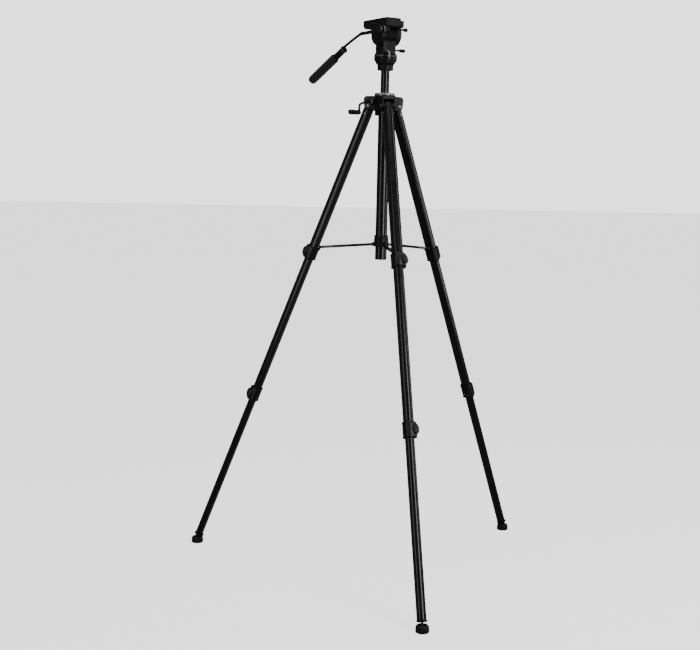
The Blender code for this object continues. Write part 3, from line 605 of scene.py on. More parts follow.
class TRIPOD_OT_leg_tubes(bpy.types.Operator):
    """The three drawn D-section tubes of each leg"""

    bl_idname = "tripod.leg_tubes"
    bl_label = "Leg Tubes"

    def execute(self, context):
        wall = context.scene.tripod_sizes.tube_wall
        for leg in LEGS:
            place = leg_place(leg)
            for name, body in (("upper", "upper_leg"), ("mid", "mid_leg"), ("lower", "lower_leg")):
                low, high = span(f"{name}_tube_{leg}", place)
                section = (high.x, -low.x)
                lip = 0.0003
                levels = [(-lip, low.z), (0, low.z + lip), (0, high.z - lip), (-lip, high.z)]
                levels += [(-wall + lip, high.z), (-wall, high.z - lip)]
                levels += [(-wall, low.z + lip), (-wall + lip, low.z)]
                tube = lofted(section_rings(section, levels), closed=True)
                piece(
                    f"leg_tube_{name}_{leg}", f"{body}_{leg}", "tube", [tube], [f"{name}_tube_{leg}"], place
                )
        return {"FINISHED"}


class TRIPOD_OT_leg_hinges(bpy.types.Operator):
    """The eye at the top of each leg, with its washers, and the two screws that hold the tube on it"""

    bl_idname = "tripod.leg_hinges"
    bl_label = "Leg Hinges"

    def execute(self, context):
        sizes = context.scene.tripod_sizes
        for leg in LEGS:
            place = leg_place(leg)
            tube_low, tube_high = span(f"upper_tube_{leg}", place)
            half, back = tube_high.x, -tube_low.x
            pin_half = -span(f"leg_knuckle_{leg}", place)[0].y
            eye_half = pin_half - 0.0035
            eye_radius = 0.0105
            profile = [(0, -eye_half), (eye_radius * 0.55, -eye_half), (eye_radius * 0.6, 0.0006 - eye_half)]
            profile += [(eye_radius * 0.8, 0.0006 - eye_half), (eye_radius * 0.86, -eye_half)]
            profile += [(eye_radius - 0.0008, -eye_half), (eye_radius, 0.0008 - eye_half)]
            profile += [(radius, -height) for radius, height in reversed(profile)]
            eye = turned(profile, along((0, 1, 0), (0, 0, 0)))
            top = tube_high.z
            levels = [(-GAP - 0.0006, top + GAP), (-GAP, top + 0.0009), (-GAP, 0.0040), (-0.0020, 0.0090)]
            levels += [(-0.0050, 0.0125), (-0.0090, 0.0145)]
            neck = lofted(section_rings((half, back), levels))
            inside = -sizes.tube_wall - GAP
            plug = lofted(section_rings((half, back), [(inside, top - 0.022), (inside, top + 0.002)]))
            body = f"upper_leg_{leg}"
            piece(f"leg_eye_{leg}", body, "plastic", [eye, neck, plug], [f"leg_knuckle_{leg}"], place)
            pin = [turned([(0, -pin_half), (0.003, -pin_half), (0.003, pin_half), (0, pin_half)])]
            piece(f"hinge_pin_{leg}", body, "steel", pin, place=place @ along((0, 1, 0), (0, 0, 0)))
            screws = [
                screw_head(0.0022, 0.0005, along((0, side, 0), (0.0015, side * half, top - 0.012)))
                for side in (-1, 1)
            ]
            piece(f"tube_screws_{leg}", body, "steel", screws, place=place)
        return {"FINISHED"}


class TRIPOD_OT_leg_clamps(bpy.types.Operator):
    """The collars at the ends of the tubes, with the brace's lugs on the upper ones"""

    bl_idname = "tripod.leg_clamps"
    bl_label = "Leg Clamps"

    def execute(self, context):
        wall = context.scene.tripod_sizes.collar_wall
        for leg in LEGS:
            place = leg_place(leg)
            for name, outer, inner, body in (
                ("upper", "upper", "mid", "upper_leg"),
                ("lower", "mid", "lower", "mid_leg"),
            ):
                low, high = span(f"{outer}_tube_{leg}", place)
                section = (high.x, -low.x)
                inner_low, inner_high = span(f"{inner}_tube_{leg}", place)
                pivot = place.inverted() @ joint_point(f"{name}_lever_turn_{leg}")
                bottom = span(f"{name}_clamp_{leg}", place)[0].z
                top = 2 * pivot.z - bottom
                step = pivot.z - 0.002
                narrow = [
                    [Vector((x, y, height)) for x, y in leg_section(inner_high.x, -inner_low.x, GAP)]
                    for height in (step, bottom + 0.0006)
                ]
                levels = [(wall - 0.0014, bottom), (wall - 0.0004, bottom + 0.0005), (wall, bottom + 0.0014)]
                levels += [(wall, bottom + 0.0040), (wall - 0.0008, bottom + 0.0044)]
                levels += [(wall - 0.0008, top - 0.0050), (wall, top - 0.0046), (wall, top - 0.0014)]
                levels += [(wall - 0.0005, top - 0.0004), (wall - 0.0016, top), (GAP, top), (GAP, step)]
                rings = section_rings(section, levels) + narrow
                collar = lofted(rings, closed=True)
                shapes = [collar]
                side = section[0] + wall
                for end in (-1, 1):
                    at = Vector((pivot.x, pivot.y, pivot.z + end * ((top - bottom) / 2 - 0.0012)))
                    profile = [
                        (0, -0.0010), (0.0015, -0.0010), (0.0018, -0.0007), (0.0018, 0.0007),
                        (0.0015, 0.0010),
                    ]
                    shapes.append(turned(profile + [(0, 0.0010)], Matrix.Translation(at), 24))
                    root = (at.x - 0.0018, side - 0.0008, at.z - 0.0010)
                    shapes.append(block(root, (at.x + 0.0018, at.y, at.z + 0.0010)))
                if name == "upper":
                    shapes += self.lugs(place, leg, -low.x + wall)
                replaced = [f"{name}_clamp_{leg}"]
                piece(f"leg_collar_{name}_{leg}", f"{body}_{leg}", "plastic", shapes, replaced, place)
                if name == "lower":
                    seats = [
                        Vector((low.x - wall + 0.0002, end * 0.0072, pivot.z - 0.010)) for end in (-1, 1)
                    ]
                    heads = [screw_head(0.0026, 0.0008, along((-1, 0, 0), seat)) for seat in seats]
                    piece(f"collar_screws_{leg}", f"{body}_{leg}", "steel", heads, place=place)
        return {"FINISHED"}

    def lugs(self, place, leg, back):
        """Two ears behind the upper collar, for the brace's strut."""
        pivot = place.inverted() @ joint_point(f"brace_link_turn_{leg}")
        inside = span(f"brace_link_{leg}", place)[1].y + 0.0002
        ears = []
        for side in (-1, 1):
            outline = [(-back + 0.0026, pivot.z - 0.0138), (-back - 0.0040, pivot.z - 0.0100)]
            outline += [(pivot.x - 0.0042, pivot.z)] + arc(0.0042, 180, 70, 6, (pivot.x, pivot.z))
            outline += [(-back + 0.0026, pivot.z + 0.0042)]
            near, far = sorted((side * inside, side * 0.0072))
            ear = slab(outline, -far, -near, Matrix.Rotation(math.pi / 2, 4, "X"), 0.0006)
            ears.append(ear)
        return ears


class TRIPOD_OT_clamp_levers(bpy.types.Operator):
    """The flip levers that wrap round the collars, each with a round thumb pad"""

    bl_idname = "tripod.clamp_levers"
    bl_label = "Clamp Levers"

    def execute(self, context):
        sizes = context.scene.tripod_sizes
        for leg in LEGS:
            place = leg_place(leg)
            for name, outer in (("upper", "upper"), ("lower", "mid")):
                inner = span(f"{outer}_tube_{leg}", place)[1].x + sizes.collar_wall + GAP
                pivot = place.inverted() @ joint_point(f"{name}_lever_turn_{leg}")
                collar_low = span(f"{name}_clamp_{leg}", place)[0].z
                half = pivot.z - collar_low - 0.0027
                band = arc(inner, -36, 95, 40) + arc(inner + 0.0030, 95, -32, 40)
                wrap = slab(band, pivot.z - half, pivot.z + half, edge=0.0009)
                reach = Vector((0, 0, half - 0.0006))
                web = block(
                    pivot - reach - Vector((0, 0.0012, 0)), pivot + reach + Vector((0.0033, 0.0010, 0))
                )
                barrel = [(0, -half), (0.0013, -half), (0.0017, 0.0004 - half)]
                barrel += [(0.0017, half - 0.0004), (0.0013, half), (0, half)]
                hinge = turned(barrel, Matrix.Translation(pivot), 24)
                aim = Vector((1, 1, 0)).normalized()
                pad = self.pad(sizes.pad_radius, along(aim, aim * inner + Vector((0, 0, pivot.z))))
                replaced = [f"{name}_lever_{leg}"]
                shapes = [wrap, web, hinge, pad]
                piece(f"clamp_lever_{name}_{leg}", f"{name}_lever_{leg}", "lever", shapes, replaced, place)
        return {"FINISHED"}

    def pad(self, radius, place):
        """A dished round thumb pad with a raised rim, standing on Z."""
        profile = [(0, 0.0012), (radius - 0.0016, 0.0012), (radius - 0.0003, 0.0024), (radius, 0.0036)]
        profile += [(radius, 0.0048), (radius - 0.0004, 0.0056), (radius - 0.0012, 0.0060)]
        profile += [
            (radius - 0.0020, 0.0057), (radius - 0.0028, 0.0049), (radius * 0.55, 0.0044), (0, 0.0042)
        ]
        return turned(profile, place)


class TRIPOD_OT_feet(bpy.types.Operator):
    """The end caps with their ball studs, and the ribbed rubber feet"""

    bl_idname = "tripod.feet"
    bl_label = "Feet"

    def execute(self, context):
        for leg in LEGS:
            place = leg_place(leg)
            tube_low, tube_high = span(f"lower_tube_{leg}", place)
            ball = place.inverted() @ joint_point(f"foot_tilt_{leg}")
            end = tube_low.z
            cap = [(0, end - 0.0062), (0.0112, end - 0.0062), (0.0124, end - 0.0056), (0.0138, end - 0.0040)]
            cap += [(0.0143, end - 0.0030), (0.0143, end - 0.0012), (0.0138, end - GAP), (0, end - GAP)]
            ball_radius = 0.0055
            stud = [(0, ball.z - ball_radius)]
            for turn in (-1.2, -0.8, -0.4, 0, 0.4, 0.8):
                stud.append((ball_radius * math.cos(turn), ball.z + ball_radius * math.sin(turn)))
            stud += [(0.0030, ball.z + 0.0068), (0.0030, end - 0.0058), (0, end - 0.0058)]
            section = (tube_high.x, -tube_low.x)
            inside = -context.scene.tripod_sizes.tube_wall - GAP
            plug = lofted(section_rings(section, [(inside, end - 0.001), (inside, end + 0.016)]))
            shapes = [turned(cap), turned(stud, steps=40), plug]
            piece(f"foot_cap_{leg}", f"lower_leg_{leg}", "plastic", shapes, [f"foot_socket_{leg}"], place)
            self.foot(leg)
        return {"FINISHED"}

    def foot(self, leg):
        upright = leg_column_place(leg)
        low, high = span(f"foot_{leg}", upright)
        centre = (low + high) / 2
        radius, top = (high.y - low.y) / 2, high.z
        ball = joint_point(f"foot_tilt_{leg}").z
        ribs = 4
        profile = [(0, 0.0006), (radius - 0.0060, 0.0006), (radius - 0.0056, 0), (radius - 0.0018, 0)]
        profile += [(radius - 0.0004, 0.0012)]
        pitch = (top * 0.62 - 0.0012) / ribs
        for i in range(ribs):
            base = 0.0012 + i * pitch
            profile += [(radius, base + pitch * 0.2), (radius, base + pitch * 0.6)]
            profile += [(radius - 0.0009, base + pitch * 0.72), (radius - 0.0009, base + pitch * 0.95)]
        profile += [(radius - 0.0008, top * 0.8), (radius - 0.0034, top * 0.94), (0.0106, top), (0.0100, top)]
        profile += [(0.0064, ball + 0.0015)]
        profile += [(0.0064 * math.cos(a), ball - 0.0064 * math.sin(a)) for a in (0.2, 0.6, 1.0, 1.3)]
        profile += [(0, ball - 0.0064)]
        tread = turned(profile, upright @ Matrix.Translation((centre.x, centre.y, 0)), 72)
        piece(f"rubber_foot_{leg}", f"foot_{leg}", "rubber", [tread], [f"foot_{leg}"])


# ---------------------------------------------------------------- brace


class TRIPOD_OT_brace(bpy.types.Operator):
    """The three folding struts with their rivets, and the hub that slides on the guide tube"""

    bl_idname = "tripod.brace"
    bl_label = "Brace"

    def execute(self, context):
        for leg in LEGS:
            inner, outer = joint_point(f"brace_arm_turn_{leg}"), joint_point(f"brace_link_turn_{leg}")
            run, across = outer - inner, joint_axis(f"brace_arm_turn_{leg}")
            reach = run.length
            run.normalize()
            place = placing(run, run.cross(across) * -1, across, inner)
            if place.determinant() < 0:
                place = placing(run, across.cross(run), across, inner)
            arm_low, arm_high = span(f"brace_arm_{leg}", place)
            link_low, link_high = span(f"brace_link_{leg}", place)
            half = arm_high.y
            shape = arc(half, 90, 270, 12) + [(arm_high.x, -half), (arm_high.x, half)]
            arm = slab(shape, arm_low.z, arm_high.z, edge=0.0005)
            piece(f"brace_bar_{leg}", f"brace_arm_{leg}", "tube", [arm], [f"brace_arm_{leg}"], place)
            inside = arm_high.z + GAP
            shape = arc(half, -90, 90, 12, (reach, 0)) + [(link_low.x, half), (link_low.x, -half)]
            plates = [
                slab(shape, inside, link_high.z, edge=0.0004), slab(shape, link_low.z, -inside, edge=0.0004)
            ]
            web = [(reach - 0.008, half - GAP), (reach - 0.008, GAP - half)]
            web += arc(half - GAP, -90, 90, 8, (reach, 0))
            plates.append(slab(web, -inside - GAP, inside + GAP))
            piece(f"brace_plates_{leg}", f"brace_link_{leg}", "tube", plates, [f"brace_link_{leg}"], place)
            self.rivets(leg, place, reach)
        self.hub()
        return {"FINISHED"}

    def rivets(self, leg, place, reach):
        """A domed rivet through each end of the strut."""
        hub_face = 0.0018 + GAP + 0.0022
        for name, body, at, face in (
            ("hub_rivet", "brace_hub", 0, hub_face),
            ("leg_rivet", f"upper_leg_{leg}", reach, 0.0072),
        ):
            head = [(0, 0.0010), (0.0010, 0.0009), (0.0020, 0.0005), (0.0023, -0.0002), (0, -0.0002)]
            shank = turned([(0, -face), (0.00125, -face), (0.00125, face), (0, face)], steps=24)
            heads = [
                turned(head[::-1], Matrix.Translation((0, 0, face)), 32),
                turned(head[::-1], Matrix.Translation((0, 0, -face)) @ Matrix.Rotation(math.pi, 4, "X"), 32),
            ]
            spot = place @ Matrix.Translation((at, 0, 0))
            piece(f"{name}_{leg}", body, "steel", [shank, *heads], place=spot)

    def hub(self):
        low, high = span("brace_hub", COLUMN)
        guide = span("guide_tube", COLUMN)[1].x + GAP
        radius = 0.0205
        profile = [(guide, high.z), (guide, low.z), (radius - 0.0014, low.z), (radius, low.z + 0.0014)]
        profile += [
            (radius, high.z - 0.0090), (radius - 0.0010, high.z - 0.0084),
            (radius - 0.0010, high.z - 0.0050),
        ]
        profile += [(radius, high.z - 0.0044), (radius, high.z - 0.0016), (radius - 0.0014, high.z)]
        shapes = [turned(profile, closed=True)]
        height = joint_point("brace_arm_turn_front").z
        for leg in LEGS:
            pivot = leg_column_place(leg).inverted() @ joint_point(f"brace_arm_turn_{leg}")
            outline = [(0.0186, 0.0085), (0.0186, -0.0050)] + arc(0.0046, -90, 80, 12, (pivot.x, 0))
            for side in (-1, 1):
                near, far = sorted((side * (0.0018 + GAP), side * (0.0018 + GAP + 0.0022)))
                turn = Matrix.Translation((0, 0, height)) @ Matrix.Rotation(math.pi / 2, 4, "X")
                ear = slab(outline, -far, -near, turn, 0.0005)
                bmesh.ops.transform(ear, matrix=COLUMN.inverted() @ leg_column_place(leg), verts=ear.verts)
                shapes.append(ear)
        piece("brace_hub_sleeve", "brace_hub", "plastic", shapes, ["brace_hub"], COLUMN)


# ---------------------------------------------------------------- shoulder and column


class TRIPOD_OT_shoulder(bpy.types.Operator):
    """The casting with its three hinge hoods, gear case, trim ring and screws"""

    bl_idname = "tripod.shoulder"
    bl_label = "Shoulder"

    def execute(self, context):
        low, high = span("shoulder", COLUMN)
        top, bottom = high.z, low.z
        bottom = joint_point("leg_fold_front").z - 0.0129
        bore = span("centre_column", COLUMN)[1].x + GAP
        guide = span("guide_tube", COLUMN)
        hollow = guide[1].x + GAP
        wall_top = guide[1].z + GAP
        profile = [(bore, top - 0.0004), (bore, wall_top), (hollow, wall_top), (hollow, bottom)]
        profile += [(0.0252, bottom), (0.0270, bottom + 0.0035), (0.0270, top - 0.0012), (0.0258, top)]
        shapes = [turned(profile, closed=True)]
        for leg in LEGS:
            shapes += self.hood(leg, top)
        shapes += self.gear_case()
        piece("shoulder_casting", "shoulder", "casting", shapes, ["shoulder"], COLUMN)
        self.collar(bore)
        self.fasteners()
        tube = [(guide[1].x - 0.0018, guide[0].z), (guide[1].x - 0.0004, guide[0].z)]
        tube += [
            (guide[1].x, guide[0].z + 0.0004), (guide[1].x, guide[1].z), (guide[1].x - 0.0018, guide[1].z)
        ]
        piece("guide_sleeve", "shoulder", "tube", [turned(tube, closed=True)], ["guide_tube"], COLUMN)
        return {"FINISHED"}

    def hood(self, leg, top):
        """A hood open below and in front: two cheeks and a roof, with their outer rims rounded."""
        hinge = leg_column_place(leg).inverted() @ joint_point(f"leg_fold_{leg}")
        turn = COLUMN.inverted() @ leg_column_place(leg)
        rise = top - hinge.z
        inside, outside = 0.0158, 0.0190
        front = arc(0.0125, -90, -10, 12, (hinge.x, 0))
        front += arc(0.010, 0, 90, 12, (hinge.x + 0.0045, rise - 0.010))
        cheek = [(0.020, -0.0125), (0.034, -0.0125)] + front + [(0.020, rise)]
        shapes = []
        for side in (-1, 1):
            near, far = sorted((side * inside, side * outside))
            stand = turn @ Matrix.Translation((0, 0, hinge.z)) @ Matrix.Rotation(math.pi / 2, 4, "X")
            plate = slab(cheek, -far, -near)
            rim = [
                edge
                for edge in plate.edges
                if all(abs(vertex.co.z + side * outside) < 1e-6 for vertex in edge.verts)
            ]
            bmesh.ops.bevel(
                plate, geom=rim, offset=0.0016, offset_type="OFFSET", affect="EDGES",
                segments=4, profile=0.5, material=-1, clamp_overlap=True,
            )
            shapes.append(settled(plate, stand))
        inner = arc(0.0058, 90, 0, 10, (hinge.x + 0.0045, rise - 0.010))
        roof = arc(0.010, 0, 90, 12, (hinge.x + 0.0045, rise - 0.010))
        roof += [(0.020, rise), (0.020, rise - 0.0042)]
        stand = turn @ Matrix.Translation((0, 0, hinge.z)) @ Matrix.Rotation(math.pi / 2, 4, "X")
        shapes.append(slab(roof + inner, -inside - 0.0012, inside + 0.0012, stand))
        return shapes

    def gear_case(self):
        """The boss round the crank's shaft, and the block that joins it to the sleeve."""
        crank = crank_place()
        shaft = crank.inverted() @ joint_point("crank_turn")
        turn = COLUMN.inverted() @ crank
        centre = Vector((0, shaft.y, shaft.z))
        profile = [(0.0040, -0.0150), (0.0125, -0.0150), (0.0125, 0.0345), (0.0112, 0.0365), (0.0100, 0.0370)]
        profile += [(0.0086, 0.0366), (0.0080, 0.0358), (0.0040, 0.0358)]
        case = turned(profile, turn @ along((1, 0, 0), centre), closed=True)
        low = (-0.0150, shaft.y - 0.0100, shaft.z - 0.0374)
        lower = block(low, (0.0100, shaft.y + 0.0080, shaft.z), turn, 0.0012)
        return [case, lower]

    def collar(self, bore):
        low, high = span("collar_ring", COLUMN)
        radius = high.x
        profile = [(bore, high.z), (bore, low.z), (radius - 0.0012, low.z), (radius, low.z + 0.0012)]
        profile += [
            (radius, low.z + 0.0030), (radius - 0.0006, low.z + 0.0034), (radius - 0.0006, low.z + 0.0042)
        ]
        profile += [(radius, low.z + 0.0046), (radius, high.z - 0.0018), (radius - 0.0006, high.z - 0.0006)]
        profile += [(radius - 0.0020, high.z)]
        ring = turned(profile, steps=96, closed=True)
        piece("collar_trim_ring", "shoulder", "trim", [ring], ["collar_ring"], COLUMN)

    def fasteners(self):
        """Hinge screws with washers on the hoods' cheeks, and the bearing ring of the gear case."""
        shapes = []
        for leg in LEGS:
            turn = COLUMN.inverted() @ leg_column_place(leg)
            hinge = leg_column_place(leg).inverted() @ joint_point(f"leg_fold_{leg}")
            for side in (-1, 1):
                spot = along((0, side, 0), hinge + Vector((0, side * 0.0190, 0)))
                washer = [
                    (0.0034, 0.0002), (0.0034, -0.0005), (0.0052, -0.0005), (0.0052, 0.0002),
                    (0.0046, 0.0006),
                ]
                shapes.append(turned(washer, turn @ spot, 40, True))
                shapes.append(screw_head(0.0036, 0.0012, turn @ spot))
        crank = crank_place()
        shaft = crank.inverted() @ joint_point("crank_turn")
        turn = COLUMN.inverted() @ crank
        ring = [(0.0041, 0.0358), (0.0078, 0.0356), (0.0078, 0.0368), (0.0072, 0.0371), (0.0041, 0.0371)]
        shapes.append(turned(ring, turn @ along((1, 0, 0), (0, shaft.y, shaft.z)), 48, True))
        piece("shoulder_screws", "shoulder", "steel", shapes, place=COLUMN)


class TRIPOD_OT_column(bpy.types.Operator):
    """The slotted column with its toothed rack, and the adapter at its top"""

    bl_idname = "tripod.column"
    bl_label = "Centre Column"

    def execute(self, context):
        place = crank_place()
        low, high = span("centre_column", place)
        rack_low, rack_high = span("column_rack", place)
        radius, inner = high.x, high.x - 0.0014
        gap = math.degrees(math.asin((rack_high.x + GAP) / radius))
        outline = arc(radius, gap - 90, 270 - gap, 60) + arc(inner, 270 - gap, gap - 90, 60)
        shapes = [slab(outline, rack_low.z - GAP, rack_high.z + GAP)]
        for bottom, top in ((low.z, rack_low.z - GAP), (rack_high.z + GAP, high.z)):
            ring = [(inner, top), (inner, bottom), (radius - 0.0004, bottom), (radius, bottom + 0.0004)]
            ring += [(radius, top - 0.0004), (radius - 0.0004, top)]
            shapes.append(turned(ring, closed=True))
        piece("column_tube", "column", "tube", shapes, ["centre_column"], place)
        refinish("column_rack", "steel")
        self.adapter(high.z)
        return {"FINISHED"}

    def adapter(self, column_top):
        low, high = span("head_adapter", COLUMN)
        top = high.z
        profile = [(0, column_top + GAP), (0.0214, column_top + GAP), (0.0222, column_top + 0.0015)]
        profile += [
            (0.0222, column_top + 0.0050), (0.0217, column_top + 0.0054), (0.0217, column_top + 0.0062)
        ]
        profile += [(0.0222, column_top + 0.0066), (0.0222, top - 0.011), (0.0232, top - 0.0092)]
        profile += [
            (0.0279, top - 0.0034), (0.0281, top - 0.0024), (0.0281, top - 0.0005), (0.0276, top), (0, top)
        ]
        shapes = [turned(profile, steps=80)]
        shapes.append(turned([(0, low.z), (0.0102, low.z), (0.0102, top - 0.006), (0, top - 0.006)]))
        piece("adapter_cup", "column", "plastic", shapes, ["head_adapter"], COLUMN)


class TRIPOD_OT_crank(bpy.types.Operator):
    """The folding crank's arm and its free-turning knob"""

    bl_idname = "tripod.crank"
    bl_label = "Crank"

    def execute(self, context):
        shaft = crank_place().inverted() @ joint_point("crank_turn")
        knob = crank_place().inverted() @ joint_point("crank_knob_spin")
        place = crank_place() @ Matrix.Translation((0, shaft.y, shaft.z))
        drop = knob.z - shaft.z
        hub = [(0, 0.0465), (0.0040, 0.0465), (0.0046, 0.0458), (0.0056, 0.0463), (0.0062, 0.0455)]
        hub += [(0.0062, 0.0382), (0.0056, 0.0376), (0, 0.0376)]
        path = [Vector((0.0425, 0, 0)), Vector((0.0560, 0, -0.0034)), Vector((0.0725, 0, -0.0092))]
        path += [Vector((0.0762, 0, -0.0150)), Vector((0.0764, 0, -0.0240)), Vector((0.0764, 0, drop))]
        path = curved(path, 8)
        arm = swept(path, [0.0034] * len(path))
        eye = [
            (0, 0.0735), (0.0048, 0.0735), (0.0055, 0.0742), (0.0055, 0.0788), (0.0048, 0.0795), (0, 0.0795)
        ]
        spindle = [(0, 0.0790), (0.0022, 0.0790), (0.0022, 0.1090), (0, 0.1097)]
        lower = along((1, 0, 0), (0, 0, drop))
        shapes = [
            turned(hub[::-1], along((1, 0, 0), (0, 0, 0))), arm, turned(eye, lower), turned(spindle, lower)
        ]
        piece("crank_handle", "crank", "plastic", shapes, ["crank_arm"], place)
        low, high = span("crank_knob", place)
        start, end = low.x, high.x
        grip = [(0.0028, start), (0.0060, start), (0.0070, start + 0.0012), (0.0072, start + 0.0030)]
        grip += [(0.0062, start + 0.0055), (0.0060, start + 0.0070), (0.0066, start + 0.0110)]
        grip += [(0.0071, end - 0.0080), (0.0072, end - 0.0030), (0.0068, end - 0.0012), (0.0058, end)]
        grip += [(0.0030, end), (0.0026, end - 0.0006), (0.0026, end - 0.0020), (0.0028, end - 0.0030)]
        piece(
            "crank_grip", "crank_knob", "plastic", [turned(grip, lower, closed=True)], ["crank_knob"], place
        )
        refinish("crank_shaft", "steel")
        return {"FINISHED"}


# ---------------------------------------------------------------- head


class TRIPOD_OT_pan_base(bpy.types.Operator):
    """The pan base with its printed graduations"""

    bl_idname = "tripod.pan_base"
    bl_label = "Pan Base"

    def execute(self, context):
        place = head_place()
        low, high = span("pan_base", place)
        radius, bottom = high.x, low.z
        top = bottom + 0.0170
        profile = [(0, bottom), (radius - 0.0020, bottom), (radius - 0.0006, bottom + 0.0012)]
        profile += [(radius - 0.0002, bottom + 0.0030), (radius - 0.0002, bottom + 0.0058)]
        profile += [
            (radius - 0.0008, bottom + 0.0062), (radius - 0.0008, bottom + 0.0070),
            (radius, bottom + 0.0076),
        ]
        profile += [
            (radius, top - 0.0012), (radius - 0.0012, top), (0.0060, top), (0.0060, high.z), (0, high.z)
        ]
        piece("pan_base_disc", "column", "plastic", [turned(profile, steps=96)], ["pan_base"], place)
        marks = []
        count = 72
        for i in range(count):
            length = 0.0044 if i % 6 == 0 else 0.0028
            turn = Matrix.Rotation(math.tau * i / count, 4, "Z")
            mark = block(
                (radius - 0.0002, -0.00022, top - 0.0014 - length),
                (radius + 0.00004, 0.00022, top - 0.0014),
                turn,
            )
            marks.append(mark)
        piece("pan_graduations", "column", "mark", marks, place=place)
        return {"FINISHED"}


class TRIPOD_OT_head_body(bpy.types.Operator):
    """The panning neck and the finned drum of the tilt drag, with the spirit level"""

    bl_idname = "tripod.head_body"
    bl_label = "Head Body"

    def execute(self, context):
        place = head_place()
        low, high = span("head_body", place)
        base = low.z
        tilt = place.inverted() @ joint_point("tilt")
        left, right, radius = -0.0215, high.x, 0.0315
        outline = []
        for centre, start in (
            ((0.0145, 0.017), 0), ((-0.0155, 0.017), 90), ((-0.0155, -0.017), 180), ((0.0145, -0.017), 270)
        ):
            outline += arc(0.006, start, start + 90, 8, centre)
        neck = slab(outline, base + 0.0002, tilt.z - 0.012)
        ring = [(0.0062, base), (radius - 0.0016, base), (radius - 0.0005, base + 0.0008)]
        ring += [(radius - 0.0005, base + 0.0026), (radius - 0.0014, base + 0.0035), (0.0062, base + 0.0035)]
        shapes = [neck, turned(ring, closed=True), self.drum(context, left, right, radius, tilt.z)]
        fillet = [
            (0.0062, base + 0.0030), (0.0268, base + 0.0030), (0.0248, base + 0.0052),
            (0.0062, base + 0.0052),
        ]
        shapes.append(turned(fillet, closed=True))
        shapes += self.level_arm(base)
        piece("head_housing", "head", "casting", shapes, ["head_body"], place)
        self.cover(place, right, tilt.z)
        self.level(place)
        refinish("tilt_axle", "steel")
        return {"FINISHED"}

    def drum(self, context, left, right, radius, height):
        """The drag's drum along X, with fins turned into its middle."""
        pitch = context.scene.tripod_sizes.fin_pitch
        depth, fins = 0.0026, 6
        first = left + 0.0040
        profile = [(0.0055, left), (radius - 0.0010, left), (radius, left + 0.0010)]
        for i in range(fins):
            start = first + i * pitch
            profile += [(radius, start), (radius - 0.0004, start + 0.0003), (radius - depth, start + 0.0005)]
            profile += [(radius - depth, start + pitch * 0.52), (radius - 0.0004, start + pitch * 0.56)]
            profile += [(radius, start + pitch * 0.62)]
        profile += [(radius, right - 0.0024), (radius - 0.0008, right - 0.0008), (radius - 0.0026, right)]
        profile += [(0.0240, right), (0.0232, right - 0.0012), (0.0055, right - 0.0012)]
        return turned(profile, along((1, 0, 0), (0, 0, height)), 96, True)

    def cover(self, place, right, height):
        """The drum's end cover: a shallow cap, a trim ring and three screws."""
        cap = [
            (0, right - 0.0003), (0.0070, right - 0.0003), (0.0078, right - 0.0009),
            (0.0205, right - 0.0009),
        ]
        cap += [
            (0.0218, right - 0.0003), (0.0228, right - 0.0010), (0.0228, right - 0.0040),
            (0, right - 0.0040),
        ]
        shape = turned(cap[::-1], along((1, 0, 0), (0, 0, height)), 80)
        piece("drum_cover", "head", "plastic", [shape], place=place)
        screws = []
        for turn in (90, 210, 330):
            aim = Vector((0, math.cos(math.radians(turn)), math.sin(math.radians(turn))))
            offset = Vector((right - 0.0012, 0, height)) + aim * 0.0145
            screws.append(screw_head(0.0022, 0.0008, along((1, 0, 0), offset)))
        piece("drum_screws", "head", "steel", screws, place=place)

    def level_arm(self, base):
        """The boss that holds the spirit level, joined to the neck's foot."""
        cup = [(0, base + 0.0006), (0.0078, base + 0.0006), (0.0085, base + 0.0013), (0.0085, base + 0.0068)]
        cup += [
            (0.0080, base + 0.0074), (0.0072, base + 0.0074), (0.0066, base + 0.0068),
            (0.0066, base + 0.0042), (0, base + 0.0042),
        ]
        bridge = block((-0.0225, -0.0330, base + 0.0008), (-0.0075, -0.0200, base + 0.0056), edge=0.0006)
        return [turned(cup, Matrix.Translation((-0.0150, -0.0340, 0)), 56), bridge]

    def level(self, place):
        low, high = span("spirit_level", place)
        centre = Matrix.Translation(((low.x + high.x) / 2, (low.y + high.y) / 2, 0))
        base, top = low.z, high.z
        bezel = [
            (0.0050, base), (0.0062, base), (0.0062, top - 0.0010), (0.0057, top - 0.0003),
            (0.0050, top - 0.0006),
        ]
        piece("level_bezel", "head", "steel", [turned(bezel, centre, 48, True)], ["spirit_level"], place)
        vial = [
            (0, base), (0.0049, base), (0.0049, top - 0.0012), (0.0036, top - 0.0005),
            (0.0018, top - 0.0002), (0, top - 0.0001),
        ]
        pointer = block((-0.0166, -0.0430, base - 0.0140), (-0.0134, -0.0416, base + 0.0030), edge=0.0004)
        piece("pan_pointer", "head", "trim", [pointer], place=place)
        piece("level_vial", "head", "level", [turned(vial, centre, 48)], place=place)


